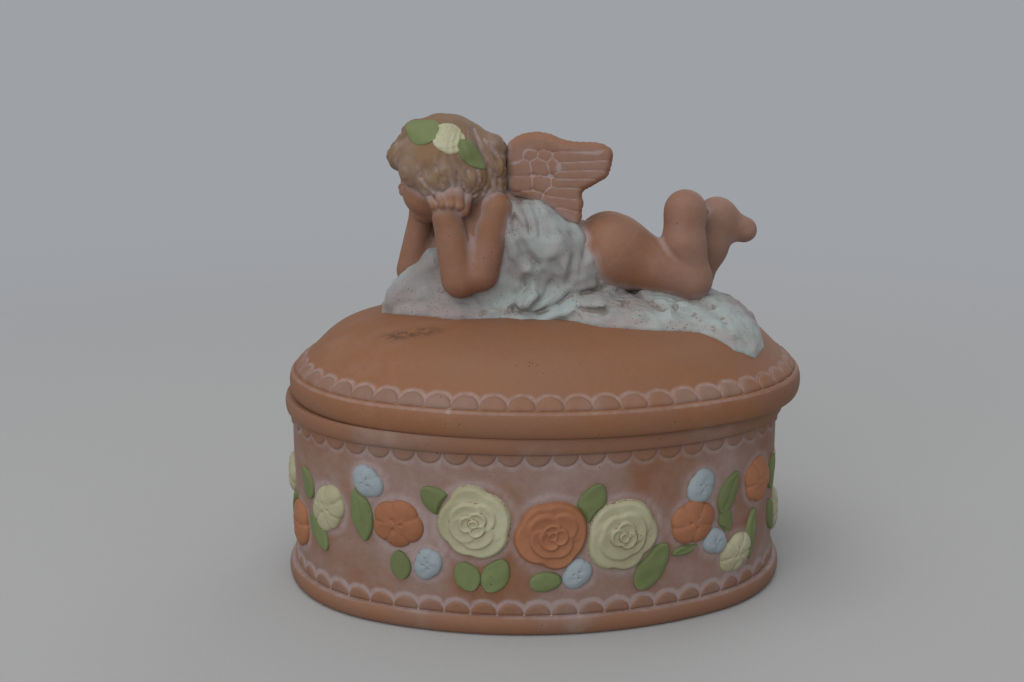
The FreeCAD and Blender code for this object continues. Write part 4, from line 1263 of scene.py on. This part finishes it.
# Stations: along the lid, the near and the far hem in shares of the figure's length, the cloth's height
drapeStations = np.array([
    (-0.431, -0.010, 0.101, 0.10), (-0.404, -0.046, 0.137, 0.75), (-0.335, -0.091, 0.162, 1.00),
    (-0.239, -0.142, 0.167, 1.05), (-0.123, -0.137, 0.172, 0.80), (0.014, -0.152, 0.172, 0.75),
    (0.116, -0.233, 0.203, 0.85), (0.233, -0.243, 0.213, 0.72), (0.369, -0.228, 0.213, 0.68),
    (0.452, -0.268, 0.192, 0.56), (0.513, -0.248, 0.132, 0.42), (0.551, -0.182, 0.030, 0.20)])
drapeFolds = np.array([0.0, 0.62, 0.50, 0.95, 0.86, 1.0, 0.80, 0.92, 0.48, 0.60, 0.0])
# Creases and rolls drawn on the near side, on the wing's grid: points, width in mm, depth in mm
drapeCreases = [([(930, 690), (970, 760), (985, 850)], 0.75, 0.75),
    ([(1005, 690), (1045, 780), (1045, 870)], 0.75, 0.75),
    ([(885, 770), (895, 880), (950, 980), (1030, 1045)], 1.0, 1.1),
    ([(1125, 1035), (1160, 1110), (1150, 1190)], 1.1, 0.8),
    ([(1250, 1010), (1245, 1090), (1215, 1165)], 0.9, 1.1),
    ([(1340, 950), (1310, 1040), (1290, 1110)], 1.0, 0.7),
    ([(1130, 1130), (1090, 1230), (1000, 1310)], 0.9, 0.7),
    ([(1180, 860), (1290, 900), (1380, 960)], 1.0, 0.5),
    ([(890, 1345), (1010, 1365), (1150, 1310), (1240, 1245), (1440, 1225)], 1.1, 1.2),
    ([(1290, 1310), (1420, 1330), (1600, 1300)], 1.0, 0.8),
    ([(1560, 1240), (1680, 1270), (1800, 1330)], 1.0, 0.7),
    ([(1900, 1330), (2020, 1380), (2140, 1480)], 1.1, 0.8),
    ([(1990, 1270), (2120, 1330), (2200, 1420)], 1.0, 0.6),
    ([(860, 700), (880, 760), (930, 820)], 0.7, 0.6), ([(560, 1400), (700, 1380), (830, 1400)], 1.0, 0.6),
    ([(150, 1330), (300, 1310), (470, 1330)], 0.9, 0.5)]
drapeRolls = [([(905, 1180), (920, 1110), (965, 1090), (1005, 1130), (1010, 1230), (950, 1300)], 1.5, 1.0),
    ([(1060, 700), (1160, 850), (1130, 980)], 2.0, 0.6), ([(880, 900), (890, 1010), (960, 1080)], 1.6, 0.6),
    ([(930, 1395), (1080, 1385), (1190, 1340), (1280, 1290), (1420, 1275)], 1.4, 0.9),
    ([(1190, 900), (1210, 1010), (1180, 1100)], 1.6, 0.6)]


def drapeTop(x, y):
    # The cloth's height, and how far outside its hem a point lies
    xs, near, far = (drapeStations[:, :3] * figure["length"]).T
    xs = xs + lid["shift"]
    crest = np.interp(x, xs, drapeStations[:, 3])
    near, far = np.interp(x, xs, near), np.interp(x, xs, far)
    v = np.clip((y - near) / np.maximum(far - near, 0.1), 0, 1)
    wander = 0.03 * np.sin(x * 0.31) + 0.02 * np.sin(x * 0.83 + 1)
    shares = np.linspace(0, 1, len(drapeFolds))
    fold = np.interp(np.clip(v + wander * (v > 0.03) * (v < 0.97), 0, 1), shares, drapeFolds)
    soft = np.interp(v, shares, np.convolve(np.pad(drapeFolds, 1, "edge"), [0.25, 0.5, 0.25], "valid"))
    rise = (0.45 * fold + 0.55 * soft) * crest * drape["crest"]
    over = np.maximum(np.maximum(near - y, y - far), np.maximum(xs[0] - x, x - xs[-1]))
    return domeHeight(x - lid["shift"], y) + drape["edge"] * 0.8 + rise, over


def draperyField(p):
    x, y, z = p[..., 0], p[..., 1], p[..., 2]
    top, over = drapeTop(x, y)
    cloth = carve((z - top) * 0.72, over * 0.9, 1.4)
    sash = bones(p, 3.0, knob("chest", 10.0 + drape["sash"]), knob("belly", 9.5 + drape["sash"]),
        knob("hips", 9.2))
    shoulder, mound, core, behind, beside = (bones(p, 2.5, *rods) for rods in drapeRods.values())
    sash = blend(sash, shoulder, 3.0)
    for slopeX, endX, slopeZ, endZ in sashEnds:
        sash = carve(sash, slopeX * (x - endX) + slopeZ * (z - endZ), 0.9)
    total = blendAll(3.6, cloth, sash, blend(mound, core, 4.0), blend(behind, beside, 3.0))
    total = total + drape["crease"] * etched(p, drapeCreases) - drape["roll"] * etched(p, drapeRolls)
    farFolds = np.cos(x * 0.55 + z * 0.75 + 1.2 * np.sin(x * 0.21)) * np.clip((y - 4) / 4, 0, 1)
    total = total + drape["farFold"] * (1 - nearSide(p)) * farFolds
    total = total + 0.26 * ripple(p, 5.0, 3) + 0.14 * ripple(p, 2.2, 4)
    # A thin layer stays under the deepest creases, and the hem is rolled
    base = domeHeight(x - lid["shift"], y)
    hem = drape["hem"] * np.exp(-((over + 1.3) / 0.9) ** 2)
    total = blend(total, np.maximum((z - base - drape["least"] - hem) * 0.75, over * 0.9), 0.5)
    return np.maximum(total, (base - drape["under"] - z) * 0.8)


def clothHaze(p):
    # Slip along the hem, and on the cloth that lies low on the right
    over = drapeTop(p[:, 0], p[:, 1])[1]
    low = p[:, 2] - domeHeight(p[:, 0] - lid["shift"], p[:, 1]) < 2.2
    right = np.clip((80.0 - p[:, 2]) / 6.0, 0, 1) * np.clip((p[:, 0] - 8.0) / 12.0, 0, 1)
    return np.exp(-((over + 0.7) / 1.1) ** 2) * low * 0.7 + 0.4 * right


def calfHaze(p):
    return np.clip((p[:, 0] - 26.0) / 16.0, 0, 1) * 0.22


print("figure")
fields = {"torso": torsoField, "nearLeg": nearLeg, "farLeg": farLeg, "nearArm": nearArm, "farArm": farArm,
    "head": headField, "hair": hairField, "nearWing": nearWing, "farWing": farWing, "drapery": draperyField}
makePiece("torso", "cherub_torso", torsoSkin, (-26, -20, 66), (32, 16, 106),
    "nearArm nearWing farWing drapery hair", around=lowerBody)
makePiece("nearLeg", "left_leg", legSkin(nearLeg, "seatBlend"), (8, -20, 66), (48, 6, 104), "farLeg drapery",
    extra=calfHaze, around=lowerBody)
makePiece("farLeg", "right_leg", legSkin(farLeg, "farBlend"), (8, -8, 64), (62, 18, 98), "nearLeg drapery",
    extra=calfHaze, around=lowerBody)
makePiece("nearArm", "left_arm", nearArm, (-32, -20, 68), (-4, -3, 106), "torso head hair drapery",
    fine * 1.15, wide=0.8)
makePiece("farArm", "right_arm", farArm, (-42, -2, 66), (-4, 18, 104), "torso head hair drapery", fine * 1.2)
makePiece("head", "cherub_head", headField, (-40, -16, 88), (-8, 14, 118), "hair nearArm farArm torso", fine)
makePiece("hair", "cherub_hair", hairField, (-42, -20, 88), (-4, 18, 120), "head nearArm nearWing torso",
    fine, "hairClay", cavity=1.3)
makePiece("nearWing", "left_wing", nearWing, (-12, -13, 88), (21, -1, 116), "torso hair drapery", fine,
    extra=grooveHaze)
makePiece("farWing", "right_wing", farWing, (-12, -5, 85), (21, 10, 114), "torso hair", fine,
    extra=lambda p: grooveHaze(mirroredWing(p)))
makePiece("drapery", "drapery", draperyField, (-42, -30, 56), (58, 24, 104),
    "torso nearLeg farLeg nearArm farArm nearWing", material="wash", cavity=0.9, extra=clothHaze,
    slot="drapery_wash")


# Rose and leaves in the hair: patches laid on the hair's surface

def onHair(flat, toward, degrees=0):
    # Bends a patch to the hair, round the direction from the skull towards a place
    verts, faces, wear = flat
    out = unit(np.array(toward) - joints["skull"])
    side = unit(np.cross((0, 0, 1.0), out))
    c, s = math.cos(math.radians(degrees)), math.sin(math.radians(degrees))
    x, y = verts[:, 0] * c - verts[:, 1] * s, verts[:, 0] * s + verts[:, 1] * c
    ray = out * 13.5 + side * x[:, None] + np.cross(out, side) * y[:, None]
    ray /= np.linalg.norm(ray, axis=1, keepdims=True)
    r = np.full(len(verts), 15.5)
    for _ in range(14):
        r = r - 0.8 * np.clip(hairField(joints["skull"] + ray * r[:, None]), -1.0, 1.0)
    return joints["skull"] + ray * (r + verts[:, 2])[:, None], faces, wear


makePatches("hairRose", "lid", "creamPaint",
    [onHair(patch(roseHeight(4.9, 0.6, 0.6), 5.8, 110, 26), (-22.0, -12.4, 113.0))])
makePatches("hairLeaves", "lid", "greenPaint",
    [onHair(patch(leafHeight(10.8, 8.4, 0.5), 6.1, 70, 16), (-28.8, -9.6, 115.4), 165),
        onHair(patch(leafHeight(9.8, 5.8, 0.5), 5.5, 70, 16), (-16.6, -12.4, 108.6), -52)])


# Stage, light and camera, with lengths in metres

stage = {"reach": 1.2, "sides": 96, "fadeFrom": 0.16, "fadeTo": 0.60, "below": -0.0001,
    "sky": (0.93, 0.96, 1.0, 1.0), "skyLight": 0.56}
# Each light: where it is, what it looks at, its size and its power
lights = {"skylight": ((-0.25, -0.25, 1.0), (0.0, 0.0, 0.05), (0.9, 0.7), 3.9),
    "backLight": ((0.6, 0.9, 0.6), (0.0, 0.0, 0.06), (0.8, 0.8), 2.2),
    "windowLight": ((-0.55, -1.0, 0.5), (0.0, 0.0, 0.05), (0.8, 0.8), 5.0)}
camera = {"place": (-0.03086, -0.35093, 0.14430), "yaw": 0.0708, "pitch": 0.23614, "lens": 49.84,
    "sensor": 36.0}


def makeFloor():
    # A round of pale floor that fades into the room's colour
    n = stage["sides"]
    turns = [2 * math.pi * i / n for i in range(n)]
    verts = [(0.0, 0.0)] + [(stage["reach"] * math.cos(a), stage["reach"] * math.sin(a)) for a in turns]
    material = bpy.data.materials.new("paleCloth")
    net = shaderNet(material)
    spot = net.add("TexCoord", None, 3)
    grain = net.noise(spot, 1400.0, 3.0)
    across, deep, _ = net.parts(spot)
    away = (across * across + deep * deep).maths("SQRT")
    colour = net.add("HueSaturation", {"Value": 0.96 + grain * 0.08, "Color": tints["floor"]})
    bump = net.add("Bump", {"Strength": 0.12, "Distance": 0.0004, "Height": grain})
    shader = net.add("BsdfPrincipled", {"Base Color": colour, "Roughness": 0.85, "Normal": bump,
        "Specular IOR Level": 0.2})
    clear = net.add("BsdfTransparent")
    faded = net.add("MixShader", {0: away.ramp(stage["fadeFrom"], stage["fadeTo"]), 1: shader, 2: clear})
    net.add("OutputMaterial", {0: faded})
    faces = [(0, 1 + i, 1 + (i + 1) % n) for i in range(n)]
    makeMesh("paleFloor", [(x / mm, y / mm, stage["below"] / mm) for x, y in verts], faces,
        material)


def makeLight(name, spot, aim, size, power):
    lamp = bpy.data.lights.new(name, "AREA")
    lamp.shape, lamp.energy = "RECTANGLE", power
    lamp.size, lamp.size_y = size
    obj = addObject(name, lamp)
    obj.location = spot
    obj.rotation_euler = (Vector(aim) - Vector(spot)).to_track_quat("-Z", "Y").to_euler()


def makeWorld():
    # The sky lights the scene, and the camera and mirrored rays see the room's colour
    scene.world = bpy.data.worlds.new("room")
    net = shaderNet(scene.world)
    seen, glossy, through = (net.add("LightPath", None, ray)
        for ray in ("Is Camera Ray", "Is Glossy Ray", "Is Transmission Ray"))
    lit = net.add("Background", {"Color": stage["sky"], "Strength": stage["skyLight"]})
    shown = net.add("Background", {"Color": tints["room"], "Strength": 1.0})
    net.add("OutputWorld", {0: net.add("MixShader", {0: (seen + glossy + through).unit(), 1: lit, 2: shown})})


def makeCamera():
    data = bpy.data.cameras.new("camera")
    data.lens, data.sensor_width = camera["lens"], camera["sensor"]
    scene.camera = addObject("camera", data)
    scene.camera.location = camera["place"]
    scene.camera.rotation_euler = (math.pi / 2 - camera["pitch"], 0.0, -camera["yaw"])


print("stage, light and camera")
makeFloor()
for name, row in lights.items():
    makeLight(name, *row)
makeWorld()
makeCamera()
scene.view_settings.view_transform = "Standard"
